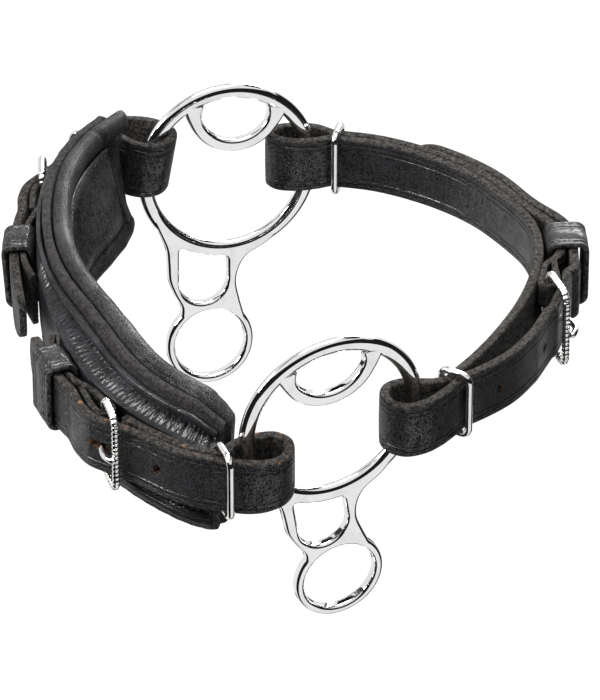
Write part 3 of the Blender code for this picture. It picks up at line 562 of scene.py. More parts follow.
def noise(tree, scale, detail=4.0, rough=0.55, vector=None, stretch=None):
    """Noise on object coordinates, or on the vector given, with cells of 1 / scale metres."""
    if vector is None:
        vector = node(tree, "ShaderNodeTexCoord").outputs["Object"]
    if stretch:
        vector = node(tree, "ShaderNodeMapping", Vector=vector, Scale=stretch).outputs[0]
    made = node(tree, "ShaderNodeTexNoise", Vector=vector, Scale=scale, Detail=detail, Roughness=rough)
    return made.outputs["Fac"]


def group(name, inputs, outputs):
    """An empty node group with float sockets, and colour sockets where a name ends in Colour."""
    tree = bpy.data.node_groups.new(name, "ShaderNodeTree")
    for names, way in ((inputs, "INPUT"), (outputs, "OUTPUT")):
        for label in names:
            kind = "NodeSocketColor" if label.endswith("Colour") else "NodeSocketFloat"
            tree.interface.new_socket(name=label, in_out=way, socket_type=kind)
    return tree, tree.nodes.new("NodeGroupInput"), tree.nodes.new("NodeGroupOutput")


def grain_group():
    """Pores and soft folds of dyed leather: Height for a bump, Shade for colour, random tone with painted
    glints and painted crease shade.
    """
    tree, start, end = group("leather_grain", ["Scale", "Pores", "Folds"], ["Height", "Shade"])
    scale = start.outputs["Scale"]
    place = node(tree, "ShaderNodeTexCoord").outputs["Object"]
    cells = node(tree, "ShaderNodeTexVoronoi", Scale=scale, Vector=place)
    cells.feature = "DISTANCE_TO_EDGE"
    pores = ranged(tree, cells.outputs["Distance"], 0.0, 0.16)
    fine = noise(tree, times(tree, scale, 1.5), 4.0, 0.7, place)
    folds = noise(tree, times(tree, scale, 0.13), 3.0, 0.5, place)
    height = times(tree, pores, start.outputs["Pores"])
    height = plus(tree, height, times(tree, fine, 1.1))
    height = plus(tree, height, times(tree, folds, start.outputs["Folds"]))
    # Cell tops lighter and the creases between cells darker: painted glints on the tops and painted shade in
    # the creases
    cell = ranged(tree, cells.outputs["Distance"], 0.02, 0.34)
    glint_and_shade = plus(tree, times(tree, fine, 0.5), times(tree, folds, 0.2))
    glint_and_shade = plus(tree, glint_and_shade, times(tree, cell, 0.3))
    feed(tree, end, Height=height, Shade=glint_and_shade)
    return tree


def fibre_group():
    """Cut leather: matted fibres. Height for a bump, Colour from dark to light with brown flecks."""
    inputs = ["Dark Colour", "Light Colour", "Fleck Colour", "Flecks"]
    tree, start, end = group("cut_fibres", inputs, ["Height", "Cut Colour"])
    dark, light, fleck, flecks = (start.outputs[name] for name in inputs)
    coarse = times(tree, noise(tree, 620.0, 5.0, 0.75), 0.55)
    matted = plus(tree, coarse, times(tree, noise(tree, 1500.0, 4.0, 0.75), 0.45))
    colour = mixed(tree, ranged(tree, matted, 0.42, 0.62), dark, light)
    spots = ranged(tree, noise(tree, 330.0, 3.0, 0.6), 0.62, 0.7)
    colour = mixed(tree, times(tree, spots, flecks), colour, fleck)
    feed(tree, end, Height=matted, Cut_Colour=colour)
    return tree


def polish_group():
    """Slow waves and hairlines of a hand-polished casting."""
    tree, start, end = group("polish", ["Waves", "Hairlines"], ["Height", "Roughness"])
    waves = times(tree, noise(tree, 95.0, 2.0, 0.4), start.outputs["Waves"])
    hair = noise(tree, 420.0, 4.0, 0.7, stretch=(1.0, 1.0, 0.12))
    height = plus(tree, waves, times(tree, hair, start.outputs["Hairlines"]))
    rough = ranged(tree, noise(tree, 260.0, 3.0, 0.6), 0.35, 0.75, 0.03, 0.1)
    feed(tree, end, Height=height, Roughness=rough)
    return tree


def use(tree, made, **values):
    placed = tree.nodes.new("ShaderNodeGroup")
    placed.node_tree = made
    return feed(tree, placed, **values)


def new_material(name):
    made = bpy.data.materials.new(name)
    made.use_nodes = True
    return made, made.node_tree, made.node_tree.nodes["Principled BSDF"]


def bumped(tree, shader, height, strength, distance):
    bump = node(tree, "ShaderNodeBump", Height=height, Strength=strength, Distance=distance)
    feed(tree, shader, Normal=bump.outputs[0])


def coated(tree, shader, weight, rough):
    """A gloss coat over leather that is nearly matt by itself."""
    feed(tree, shader, Coat_Weight=weight, Coat_Roughness=rough, Coat_IOR=COAT_IOR)
    feed(tree, shader, Specular_IOR_Level=LEATHER_SPECULAR)


def belt_leather(name, groups, flecks=0.0, coat_rough=0.27):
    """Belt leather: creased black grain. The piece's own map tells where its cut edges are."""
    made, tree, shader = new_material(name)
    place = tree.nodes.new("ShaderNodeUVMap").outputs[0]
    off = sums(tree, "ABSOLUTE", node(tree, "ShaderNodeSeparateXYZ", Vector=place).outputs["Y"])
    rim = STRAP_WIDTH / 2
    edge = ranged(tree, off, (rim - 0.5) * MM, (rim + 0.2) * MM)
    grain = use(tree, groups["grain"], Scale=GRAIN_SIZE, Pores=0.3, Folds=0.9)
    cut = use(tree, groups["fibre"], Dark_Colour=(0.003, 0.0028, 0.0028), Light_Colour=(0.08, 0.074, 0.068),
              Fleck_Colour=FLECK, Flecks=flecks)
    wrinkles = noise(tree, 900.0, 4.0, 0.6, place, (1.0, 0.10, 1.0))
    glint_and_shade = plus(tree, times(tree, grain.outputs["Shade"], 0.85), times(tree, wrinkles, 0.15))
    coat_and_glint = ranged(tree, glint_and_shade, 0.4, 0.62)
    # The light colour on the grain's tops is a painted glint; the same mask also lays on the real gloss coat
    face = mixed(tree, coat_and_glint, (0.0015, 0.0016, 0.002), (0.04, 0.041, 0.046))
    smooth = ranged(tree, glint_and_shade, 0.42, 0.6, 0.5, 0.4)
    feed(tree, shader, Base_Color=mixed(tree, edge, face, cut.outputs["Cut Colour"]),
         Roughness=plus(tree, smooth, times(tree, edge, 0.4), True))
    off_rim = ranged(tree, off, (rim - 0.5) * MM, rim * MM, 1.0, 0.0)
    coated(tree, shader, times(tree, coat_and_glint, off_rim), coat_rough)
    height = plus(tree, grain.outputs["Height"], times(tree, wrinkles, 0.3))
    fibres = times(tree, times(tree, edge, cut.outputs["Height"]), 2.5)
    bumped(tree, shader, plus(tree, height, fibres), 1.0, GRAIN_BUMP)
    return made


def cut_leather(name, groups, flecks, light=(0.08, 0.073, 0.067)):
    """Cut or suede leather all over."""
    made, tree, shader = new_material(name)
    cut = use(tree, groups["fibre"], Dark_Colour=(0.006, 0.0055, 0.0055), Light_Colour=light,
              Fleck_Colour=FLECK, Flecks=flecks)
    feed(tree, shader, Base_Color=cut.outputs["Cut Colour"], Roughness=0.85, Specular_IOR_Level=0.2)
    bumped(tree, shader, cut.outputs["Height"], 0.8, 0.0004)
    return made


def glove_leather(name, groups, pores, coat_rough, coat, dark, light):
    """Soft leather of the pad, cover and lining."""
    made, tree, shader = new_material(name)
    grain = use(tree, groups["grain"], Scale=SOFT_GRAIN_SIZE, Pores=pores, Folds=1.6)
    slow = noise(tree, 60.0, 3.0, 0.5)
    glint_and_shade = plus(tree, times(tree, grain.outputs["Shade"], 0.65), times(tree, slow, 0.35))
    coat_and_glint = ranged(tree, glint_and_shade, 0.4, 0.62)
    # The light colour on the grain's tops and in slow blotches is a painted glint and sheen over random tone;
    # the same mask also lays on the real gloss coat
    feed(tree, shader, Base_Color=mixed(tree, coat_and_glint, dark, light),
         Roughness=ranged(tree, glint_and_shade, 0.42, 0.6, 0.5, 0.4))
    coated(tree, shader, times(tree, coat_and_glint, coat), coat_rough)
    bumped(tree, shader, grain.outputs["Height"], 1.0, GRAIN_BUMP)
    return made


def polished_metal(name, groups, waves, hairlines, colour=(0.86, 0.855, 0.85)):
    made, tree, shader = new_material(name)
    polish = use(tree, groups["polish"], Waves=waves, Hairlines=hairlines)
    tarnish = ranged(tree, noise(tree, 140.0, 3.0, 0.6), 0.4, 0.8)
    deeper = tuple(0.86 * value for value in colour)
    feed(tree, shader, Metallic=1.0, Base_Color=mixed(tree, tarnish, colour, deeper),
         Roughness=polish.outputs["Roughness"])
    bumped(tree, shader, polish.outputs["Height"], 0.35, 0.0006)
    return made


def thread_material():
    made, tree, shader = new_material("waxed_thread")
    twist = noise(tree, 1800.0, 3.0, 0.6)
    colour = mixed(tree, twist, (0.006, 0.006, 0.007), (0.02, 0.02, 0.022))
    feed(tree, shader, Base_Color=colour, Roughness=0.5)
    bumped(tree, shader, twist, 0.5, 0.0002)
    return made


def make_materials():
    groups = {"grain": grain_group(), "fibre": fibre_group(), "polish": polish_group()}
    made = {
        "belt": belt_leather("belt_leather", groups),
        "loop": belt_leather("loop_leather", groups, 0.0, 0.21),
        "worn_belt": belt_leather("worn_belt_leather", groups, 0.5),
        "cut": cut_leather("cut_leather", groups, 0.35),
        "torn": cut_leather("torn_hole", groups, 1.0, (0.2, 0.12, 0.07)),
        "base": cut_leather("base_leather", groups, 0.0, (0.045, 0.042, 0.04)),
        "chrome": polished_metal("polished_chrome", groups, 0.1, 0.0),
        "wire": polished_metal("plated_wire", groups, 0.2, 0.2, (0.8, 0.79, 0.77)),
        "thread": thread_material(),
    }
    for name, values in GLOVES.items():
        made[name] = glove_leather(f"{name}_leather", groups, *values)
    return made


def strap_ring(width, thick, grain):
    """One closed section of a strap from the middle of its back, as (side, high) pairs and the way across."""
    w, t, r = width / 2, thick / 2, 0.75
    half = [(-t, 0.0), (-t, w * 0.5), (-t, w - r)]
    half += arc((-t + r, w - r), r, 150, 90, 30) + arc((t - r, w - r), r, 90, 0, 30)
    for inset, deep in zip(CREASE_IN, CREASE_DEEP):
        for step, share in ((0.45, 0.0), (0.15, 0.8), (-0.15, 0.8), (-0.45, 0.0)):
            high = w - inset + step
            half.append((t + crown(high, w) - deep * share, high))
    half += [(t + crown(high, w), high) for high in (w * 0.4, w * 0.2)]
    ring = half + [(t + crown(0.0, w), 0.0)] + [(side, -high) for side, high in reversed(half)]
    ring = np.array(ring)
    across = centred(ring)
    ring[:, 0] *= grain
    return ring, across


def crown(high, half):
    return 0.18 * (1 - (high / half) ** 2)


def strap(name, rows, made_of, grain, pointed=False):
    """A belt swept along its rows; grain is the side, +1 or -1, that its smooth face is on."""
    path = np.array(through(rows, 1.0))
    here = path[:, :3]
    heading = unit(np.gradient(here, axis=0))
    rise = unit(np.column_stack([path[:, 3], path[:, 4], np.ones(len(path))]))
    across = unit(np.cross(heading, rise))
    rise = unit(np.cross(across, heading))
    left = run_along(here)
    left = left[-1] - left
    ring, flat = strap_ring(STRAP_WIDTH, STRAP_THICK, grain)
    grid = np.empty((len(path), len(ring), 3))
    for index in range(len(path)):
        narrow, thin = 1.0, path[index, 5] / STRAP_THICK
        if pointed and left[index] < POINT_LONG:
            share = left[index] / POINT_LONG
            narrow = 0.3 + 0.7 * math.sqrt(1 - (1 - share) ** 2)
            thin *= 0.72 + 0.28 * share
        side = ring[:, 0] * thin
        high = ring[:, 1] * narrow
        grid[index] = here[index] + np.outer(side, across[index]) + np.outer(high, rise[index])
    return skin(name, grid, made_of, across=flat)


def rounded_box(low, high, half, corner, steps=8):
    """Points (across, up) of a rounded rectangle from low to high across and half up and down."""
    corners = [(high - corner, half - corner, 0), (low + corner, half - corner, 90)]
    corners += [(low + corner, corner - half, 180), (high - corner, corner - half, 270)]
    made = []
    for x, y, start in corners:
        made += arc((x, y), corner, start, start + 90, 90 / steps)
    return made


def evened(path, step, closed):
    """The path with points a set distance apart."""
    points = np.array(path)
    if closed:
        points = np.vstack([points, points[:1]])
    run = run_along(points)
    count = max(8, round(run[-1] / step))
    at = np.linspace(0.0, run[-1], count + 1)
    return np.column_stack([np.interp(at, run, points[:, axis]) for axis in range(points.shape[1])])


def headings(line, closed=True):
    """The way that a path goes at each of its points."""
    made = np.gradient(line, axis=0)
    if closed:
        made[0] = made[-1] = line[1] - line[-2]
    return unit(made)


def wire(name, path, radius, made_of, closed, normal, ribs=0.0):
    """A round wire along a path; ribs is how deep the filed pattern on it goes."""
    step = 0.32 if ribs else 0.7
    line = evened(path, step, closed)
    heading = headings(line, closed)
    one = unit(np.cross(heading, np.tile(normal, (len(line), 1))))
    two = unit(np.cross(one, heading))
    turns = np.linspace(0, 2 * math.pi, 17)
    count = len(line)
    grid = np.empty((count, 17, 3))
    for index in range(count):
        full = radius * (1 - ribs * (0.5 + 0.5 * math.cos(2 * math.pi * index * step / RIB_PITCH)) ** 3)
        if not closed:
            ends = min(index, count - 1 - index) * step
            if ends < radius:
                full *= math.sqrt(max(0.05, 1 - (1 - ends / radius) ** 2))
        around = np.outer(np.cos(turns), one[index]) + np.outer(np.sin(turns), two[index])
        grid[index] = line[index] + full * around
    return skin(name, grid, made_of, closed=closed, angle=60.0)


def wire_keeper(name, line, station, toward, low, high, made_of, slant=0.0):
    place, heading, out, up = line.frame(station, toward)
    reach = GAP + KEEPER_WIRE
    half = STRAP_WIDTH / 2 + reach + WIRE_SLACK
    aside = out + heading * slant
    box = rounded_box(low - reach, high + reach, half, WIRE_CORNER)
    path = [place + aside * across + up * rise for across, rise in box]
    return wire(name, path, KEEPER_WIRE, made_of, True, np.cross(aside, up))


def leather_keeper(name, line, station, toward, low, high, made_of):
    """A leather loop with two creases, its ends meeting behind the layers."""
    place, heading, out, up = line.frame(station, toward)
    reach = GAP + KEEPER_LEATHER / 2
    half = STRAP_WIDTH / 2 + reach + SLACK
    line_round = evened(rounded_box(low - reach, high + reach, half, KEEPER_CORNER, 10), 0.8, True)
    t, l, r = KEEPER_LEATHER / 2, KEEPER_LENGTH / 2, 0.6
    section = [(-t, 0.0), (-t, l - r), (-t + r, l), (t - r, l), (t - 0.1, l - 0.35), (t, l - r)]
    for middle, deep in ((l - 2.2, 0.3), (l - 4.0, 0.2)):
        section += [(t, middle + 0.5), (t - deep, middle + 0.12)]
        section += [(t - deep, middle - 0.12), (t, middle - 0.5)]
    section = section + [(t + 0.12, 0.0)] + [(a, -b) for a, b in reversed(section)]
    section = np.array(section)
    tangent = headings(line_round)
    grid = np.empty((len(line_round), len(section), 3))
    for index, (x, y) in enumerate(line_round):
        side = (tangent[index, 1], -tangent[index, 0])
        for k, (thick, long) in enumerate(section):
            spot = out * (x + side[0] * thick) + up * (y + side[1] * thick) + heading * long
            grid[index, k] = place + spot
    return skin(name, grid, made_of, closed=True, across=centred(section) * (STRAP_WIDTH / 2) / l)


def bar_rise(under):
    return under + GAP + CHAPE_THICK + GAP + BUCKLE_WIRE


def buckle(name, line, belt, toward, under, made_of):
    place, heading, out, up = line.frame(belt["bar"], toward)
    bar = place + out * bar_rise(under)
    arm = heading * belt["front"] + out * belt["front_rise"]
    length = np.linalg.norm(arm)
    arm = arm / length
    path = [bar + arm * x + up * y for x, y in rounded_box(0.0, length, BUCKLE_HALF, BUCKLE_CORNER)]
    return wire(name, path, BUCKLE_WIRE, made_of, True, np.cross(arm, up), ribs=RIB_DEEP)


def tongue(name, line, belt, toward, under, made_of):
    place, heading, out, up = line.frame(belt["bar"], toward)
    bar = place + out * bar_rise(under)
    radius = BUCKLE_WIRE + TONGUE_CLEARANCE + TONGUE_WIRE
    made = arc((0, 0), radius, 345, 121, 32)
    front, rise = belt["front"], belt["front_rise"] + BUCKLE_WIRE + GAP + TONGUE_WIRE
    made += [(front * 0.28, radius + (rise - radius) * 0.25), (front * 0.55, radius + (rise - radius) * 0.72)]
    made += [(front * 0.8, rise), (front + 0.6, rise + 0.15), (front + 3.2, rise - 0.7)]
    path = [bar + heading * x + out * y for x, y in through(made, 0.4)]
    return wire(name, path, TONGUE_WIRE, made_of, False, up)


def hook_rows(belt, toward, under):
    """Chape end: skived leather back over the bar, round it and under it."""
    bar = bar_rise(under)
    radius = BUCKLE_WIRE + GAP + CHAPE_THICK / 2
    flat = under + GAP + CHAPE_THICK / 2
    made = [(-15.0, flat + CHAPE_THICK + GAP), (-9.0, flat + CHAPE_THICK + GAP + 1.3)]
    made.append((-4.0, bar + radius - 0.5))
    made += arc((0.0, bar), radius, 90, -90, 30) + [(-5.0, flat), (-12.0, flat)]
    return [(belt["bar"] + toward * x, d) for x, d in made]


def over_buckle_rows(belt, toward, under):
    """The pierced layer under the front bar, over the chape's roll and down again."""
    top = bar_rise(under) + BUCKLE_WIRE + GAP + CHAPE_THICK + GAP + STRAP_THICK / 2
    front = bar_rise(under) + belt["front_rise"] - BUCKLE_WIRE - GAP - STRAP_THICK / 2
    made = [(belt["front"] + 3.0, front - 0.9), (belt["front"], front - 0.25), (8.0, (front + top) / 2 - 0.5)]
    made += [(0.0, top), (-8.0, top - 0.8)]
    return [(belt["bar"] + toward * x, d) for x, d in made]


def hole(obj, line, station, offset, wall):
    place, heading, out, up = line.frame(station, 1)
    drill(obj, place + out * offset, out, HOLE_RADIUS, STRAP_THICK + 2 * GAP, wall)


def pierce(obj, line, belt, toward, under, wall):
    """The torn hole that the tongue passes through."""
    place, heading, out, up = line.frame(belt["bar"], toward)
    middle = place + heading * (belt["front"] * TONGUE_HOLE[0]) + out * (bar_rise(under) + 6.0)
    slot_through(obj, middle, heading, out, belt["front"] * TONGUE_HOLE[1], TONGUE_SLOT, 14.0, wall)


def slot_hook(obj, line, belt, toward, under, wall):
    """The slot in the chape's roll for the eye of the tongue."""
    place, heading, out, up = line.frame(belt["bar"], toward)
    middle = place + heading * 1.0 + out * (bar_rise(under) + 1.2)
    slot_through(obj, middle, heading, out, 11.4, TONGUE_SLOT, 12.5, wall)


def fasten(line, belt, toward, under, made_of, frame, prong):
    """Buckle and tongue; frame and prong are their (piece, body, solid) names."""
    for make, (piece, body, solid) in ((buckle, frame), (tongue, prong)):
        settle(make(piece, line, belt, toward, under, made_of), body, "chrome", solid)


def nose_belt(side, line, stuff):
    """One side's billet, chape, buckle, tongue and keepers on the noseband."""
    belt = NOSE_BELTS[side]
    toward = -1 if side == "near" else 1
    ring_end = 0.0 if side == "near" else line.length

    def station(value):
        return ring_end - toward * value

    inner = GAP + SLACK / 2 + STRAP_THICK / 2
    outer = inner + STRAP_THICK + GAP
    start = belt["bar"] - 8.5
    keeper_low = 2 * GAP + KEEPER_LEATHER + SLACK
    chape_at_keeper = keeper_low + CHAPE_THICK / 2
    billet_at_keeper = keeper_low + CHAPE_THICK + GAP + SLACK + STRAP_THICK / 2
    keeper_high = billet_at_keeper + STRAP_THICK / 2 + SLACK
    world = dict(belt, bar=station(belt["bar"]))
    leather = stuff["worn_belt"] if side == "near" else stuff["belt"]

    rows = [(station(s), inner) for s in (start, start * 0.5, belt["leave"])]
    path = laid(line, rows) + folded(belt["fold"], line.height, belt["tips"])
    path += laid(line, [(station(s), outer) for s in (2.4, (belt["bar"] - belt["front"]) * 0.55)])
    path += laid(line, over_buckle_rows(world, toward, 0.0))
    on_chape = 2 * GAP + CHAPE_THICK * 2 + STRAP_THICK / 2 + GAP
    rows = [(belt["bar"] + 16.0, on_chape + 0.4), (belt["keeper"] - 10.0, billet_at_keeper)]
    rows += [(belt["keeper"] + 9.0, billet_at_keeper), (belt["tip"], billet_at_keeper - 0.8)]
    path += laid(line, [(station(s), d) for s, d in rows])
    billet = strap(f"billet_{side}", path, leather, toward, True)
    pierce(billet, line, world, toward, 0.0, stuff["torn"])
    hole(billet, line, station(belt["hole"]), outer, stuff["torn"])
    settle(billet, "noseband", "strap_leather", f"nose_billet_{side}")

    rows = hook_rows(world, toward, 0.0)
    rows += [(station(belt["keeper"] + way), chape_at_keeper) for way in (-10.0, 10.5)]
    rows += [(station(belt["chape"]), GAP + CHAPE_THICK / 2)]
    chape = strap(f"chape_{side}", laid(line, rows, CHAPE_THICK), stuff["belt"], -toward)
    slot_hook(chape, line, world, toward, 0.0, stuff["cut"])
    settle(chape, "noseband", "strap_leather", f"nose_chape_{side}")

    names = [(f"{kind}_{side}", f"{side}_{kind}", f"nose_{kind}_{side}") for kind in ("buckle", "tongue")]
    fasten(line, world, toward, 0.0, stuff["wire"], *names)
    at = station(belt["keeper"])
    loop = leather_keeper(f"keeper_{side}", line, at, toward, keeper_low - SLACK, keeper_high, stuff["loop"])
    settle(loop, f"{side}_loop", "strap_leather", f"nose_keeper_{side}")
    high = outer + STRAP_THICK / 2
    at, slant = belt["wire"]
    oval = wire_keeper(f"wire_{side}", line, station(at), toward, GAP, high + GAP, stuff["wire"], slant)
    settle(oval, f"{side}_wire", "chrome", f"nose_wire_{side}")


def curb(line, stuff):
    """The curb strap with its buckle and keepers."""
    belt = CURB_BELT
    under = STRAP_THICK / 2
    middle = STRAP_THICK + GAP
    outer = 2 * middle
    keeper_low = under + 2 * GAP + KEEPER_LEATHER + 3 * SLACK
    middle_at_keeper = keeper_low + STRAP_THICK / 2
    outer_at_keeper = middle_at_keeper + STRAP_THICK + GAP + 1.4
    keeper_high = outer_at_keeper + STRAP_THICK / 2 + SLACK
    rows = [(*row, CHAPE_THICK) for row in hook_rows(belt, 1, under)]
    before_keeper = (belt["bar"] - 12.0 - belt["keeper"]) * 0.53
    past_keeper = belt["keeper"] - KEEPER_LENGTH / 2 - 1.0
    rows += [(belt["keeper"] + before_keeper, middle_at_keeper), (past_keeper, middle_at_keeper)]
    rows += [(past_keeper * share, middle) for share in (0.86, 0.64, 0.41, 0.18, 0.004)]
    path = laid(line, rows)
    path += folded(FOLD_FAR_CURB, line.height, TIP_FAR_CURB)[::-1]
    stations = (0.4, 20.0, 45.0, 70.0, 95.0, 120.0, 145.0, 170.0, 195.0, line.length - 0.4)
    path += laid(line, [(station, 0.0) for station in stations])
    path += folded(FOLD_NEAR_CURB, line.height, TIP_NEAR_CURB)
    rows = [(0.4, middle), (4.0, middle), (13.0, 6.6), (28.0, 10.4), (44.0, 11.6)]
    path += laid(line, [(line.length - back, offset) for back, offset in rows])
    path += laid(line, over_buckle_rows(belt, 1, under))
    free = belt["bar"] - 8.0 - belt["keeper"]
    rows = [(belt["keeper"] + free * 0.81, outer_at_keeper + 1.2)]
    rows += [(belt["keeper"] + free * 0.38, outer_at_keeper), (past_keeper, outer_at_keeper - 0.2)]
    rows += [(past_keeper + (belt["tip"] - past_keeper) * share, outer) for share in (0.21, 0.49, 0.74, 1.0)]
    path += laid(line, rows)
    made = strap("curb_belt", path, stuff["belt"], 1, True)
    pierce(made, line, belt, 1, under, stuff["cut"])
    slot_hook(made, line, belt, 1, under, stuff["cut"])
    for station, offset in belt["holes"]:
        hole(made, line, station, offset, stuff["cut"])
    settle(made, "curb", "strap_leather", "curb_strap")
    fasten(line, belt, 1, under, stuff["wire"], ("curb_frame_wire", "curb_frame", "curb_buckle"),
           ("curb_prong_wire", "curb_prong", "curb_tongue"))
    low, high = keeper_low - 2 * SLACK, keeper_high + 2 * SLACK
    loop = leather_keeper("curb_loop_leather", line, belt["keeper"], 1, low, high, stuff["loop"])
    settle(loop, "curb_loop", "strap_leather", "curb_keeper")
    low, high = -under - SLACK, middle + STRAP_THICK / 2 + SLACK
    for side, station, toward in (("far", belt["wire"], -1), ("near", line.length - belt["wire"], 1)):
        oval = wire_keeper(f"curb_oval_{side}", line, station, toward, low, high, stuff["wire"])
        settle(oval, f"curb_{side}_wire", "chrome", f"curb_wire_{side}")


def nose_points(line, station, offset, high, left=None):
    """Points of the noseband at a station, from arrays of offsets and heights, and the way outward. It
    leans, hangs below the straps' middle and has its corners at the near end drawn in. Where left is
    given, what is left of the pad up to its far end, the pad's corners there reach over."""
    share = station / line.length
    here, heading = line.at(station)
    out = in_space(line.outward(station))
    high = high * trimmed(high, station)
    reach = 0 * high if left is None else overhang(high, left)
    aside = offset + high * shared(NOSE_LEAN, share) - OVERHANG_LEAN * reach
    rise = high - shared(NOSE_DROP, share)
    place = line.place(here) + np.outer(reach, in_space(heading))
    return place + np.outer(aside, out) + np.outer(rise, UP), out


def band(name, line, first, last, section, made_of, step=1.2, angle=40.0, over=False):
    """A band along the noseband: section gives (offset, height) points at a station."""
    rows = []
    for station in np.linspace(first, last, round((last - first) / step) + 1):
        ring = np.array(section(station / line.length, min(station - first, last - station), station))
        left = last - station if over else None
        rows.append(nose_points(line, station, ring[:, 0], ring[:, 1], left)[0])
    return skin(name, np.array(rows), made_of, angle=angle)


def trimmed(high, station):
    """Share of its height that the noseband keeps where its two near corners are drawn in."""
    top = CORNER_CUT * max(0.0, 1 - station / CORNER_REACH) ** 1.5
    foot = FOOT_CUT * max(0.0, 1 - station / FOOT_REACH) ** 1.5
    return 1 - np.where(high > 0, top, foot) / PAD_HALF


def overhang(high, left):
    """How far the pad's two corners at the far end reach on past the folded strap."""
    reach = np.where(high > 0, PAD_OVERHANG[0], PAD_OVERHANG[1])
    clear = np.clip((np.abs(high) - STRAP_WIDTH / 2 - 2.0) / 7.0, 0.0, 1.0)
    return reach * clear * max(0.0, 1 - left / CORNER_REACH)


def closed_ring(points):
    return [*points, points[0]]


def wobble(x, seed=0.0):
    """A slow uneven wave between about -1 and 1."""
    slow = 0.55 * math.sin(x + seed) + 0.3 * math.sin(2.3 * x + 1.7 * seed)
    return slow + 0.15 * math.sin(5.1 * x + 0.4 * seed)


def base_ring(share, left, station):
    outer = -shared(COVER_CROWN, share)
    inner = outer - BASE_THICK
    high = BASE_HALF + 0.12 * wobble(station * 0.9)
    c = 0.7
    ring = [(outer, 0.0), (outer, high - c), (outer - 0.25, high - 0.2), (outer - c, high)]
    ring += [(outer - BASE_THICK / 2, high + 0.08 * wobble(station * 2.1, 1.0)), (inner + c, high)]
    ring += [(inner + 0.2, high - 0.25), (inner, high - c), (inner, 0.0)]
    ring += [(d, -h) for d, h in reversed(ring[1:-1])]
    return closed_ring(ring)


def tooth(station, side):
    """How far the gathered edge runs up between two stitches of the cover: a ragged saw from 0 to 1."""
    turn = station / SEAM_PITCH + 0.22 * wobble(station * 0.31, side) + 0.1 * wobble(station * 1.3, 2 * side)
    saw = turn - math.floor(turn)
    size = 0.62 + 0.38 * wobble(math.floor(turn) * 2.4, side)
    return size * (1 - abs(2 * saw - 1)) ** 1.4


def cover_ring(share, left, station):
    """Raised cover: a flat flange, a ragged gathered seam, puckers, then a full crown with a flat face."""
    lean = shared(NOSE_LEAN, share)
    drop = shared(NOSE_DROP, share)
    belt = shared(BELT_LEAN, share)
    seat = LAYER_GAP - shared(COVER_CROWN, share)
    level = seat + COVER_SKIN
    end = min(1.0, left / COVER_END)
    full = math.sqrt(1 - (1 - end) ** 2) if end < 1 else 1.0

    def face(high):
        return level + (((high - drop) * belt - high * lean) - level) * full

    def edge(sign, side):
        """From the middle of the face out to the outer edge, on the upper or the lower side."""
        ragged = tooth(station, side)
        high_face = min(COVER_FLAT + sign * drop, SEAM_HIGH - 2.2)
        seam = SEAM_HIGH - 2.5 * ragged * full
        gather = 0.55 * math.exp(-left / 8.0) * full
        made = []
        for part in (0.0, 0.5, 0.85, 1.0):
            high = high_face * part
            pulled = gather * wobble(high * 1.1, side) * part
            made.append((face(sign * high) - 0.2 * part ** 6 - pulled, sign * high))
        rise = made[-1][0] - level
        fold = 0.3 * wobble(station * 0.21, 3 * side) + 0.14 * wobble(station * 0.6, side)
        for part, share_up, pinched in PUCKERS:
            high = high_face + (SEAM_HIGH - 2.4 - high_face) * part if part < 1 else seam
            swell = fold * math.sin(math.pi * part) - (ragged - 0.35) * pinched * full
            swell -= gather * wobble(high * 1.1, side)
            made.append((level + rise * share_up + swell * min(1.0, rise / 2.5), sign * high))
        made.append((level - 1.45, sign * (seam + 0.25)))
        made.append((level - 1.45, sign * (SEAM_HIGH + 0.85)))
        made += [(level + 0.1, sign * (SEAM_HIGH + 1.1)), (level + 0.3, sign * (SEAM_HIGH + 1.9))]
        made += [(level, sign * (COVER_HALF - 0.6)), (level - 0.3, sign * (COVER_HALF - 0.15))]
        made += [(seat + 0.3, sign * COVER_HALF), (seat, sign * (COVER_HALF - 0.4))]
        return made

    upper = edge(1, 1.0)
    lower = edge(-1, 4.0)
    return closed_ring([(seat, 0.0), *reversed(upper), *lower[1:]])


def pad_depth(share):
    return PAD_NEAR_DEPTH + (PAD_FAR_DEPTH - PAD_NEAR_DEPTH) * share


def middle_depth(share):
    """Depth of the pad's middle, which leaves the lining a little below the rolls."""
    return pad_depth(share) - LINING_RECESS - LINING_THICK - LAYER_GAP


def pad_ring(share, left, station):
    """Soft rolled pad: a full roll along both edges, a sewn channel inside each and a lower middle."""
    back = -shared(COVER_CROWN, share) - BASE_THICK - LAYER_GAP
    full = 1.0
    if left < PAD_END:
        full = 0.6 + 0.4 * math.sqrt(1 - (1 - left / PAD_END) ** 2)
    deep = pad_depth(share) * full
    sunk = min(1.0, max(0.0, (left - PAD_CHANNEL + 1.6) / 1.6))
    floor = deep * 0.94 + (middle_depth(share) - deep * 0.94) * sunk
    half = PAD_HALF * (0.88 + 0.12 * full)
    off = station - ROLL_CREASE
    crease = math.exp(-(off / 0.9) ** 2) - 0.35 * math.exp(-(off / 3.0) ** 2)
    swell = 1 + 0.02 * wobble(station * 0.16, 2.0)
    channel = LINING_HALF + GAP
    ring = [(back - deep * d * (swell if 0.1 < d else 1), half * h) for d, h in PAD_ROLL]
    ring += [(back - deep * 0.84, channel + 0.9), (back - floor - 0.1, channel + 0.25)]
    ring += [(back - floor, high) for high in (channel - 0.6, channel * 0.7, channel * 0.35)]
    lower = [(d, -h) for d, h in reversed(ring)]
    upper = []
    for d, h in ring:
        pinched = 0.9 * crease * min(1.0, max(0.0, (h - channel) / 4.0))
        upper.append((d + pinched, h - 0.8 * pinched))
    return closed_ring([*upper, (back - floor, 0.0), *lower, (back, 0.0)])


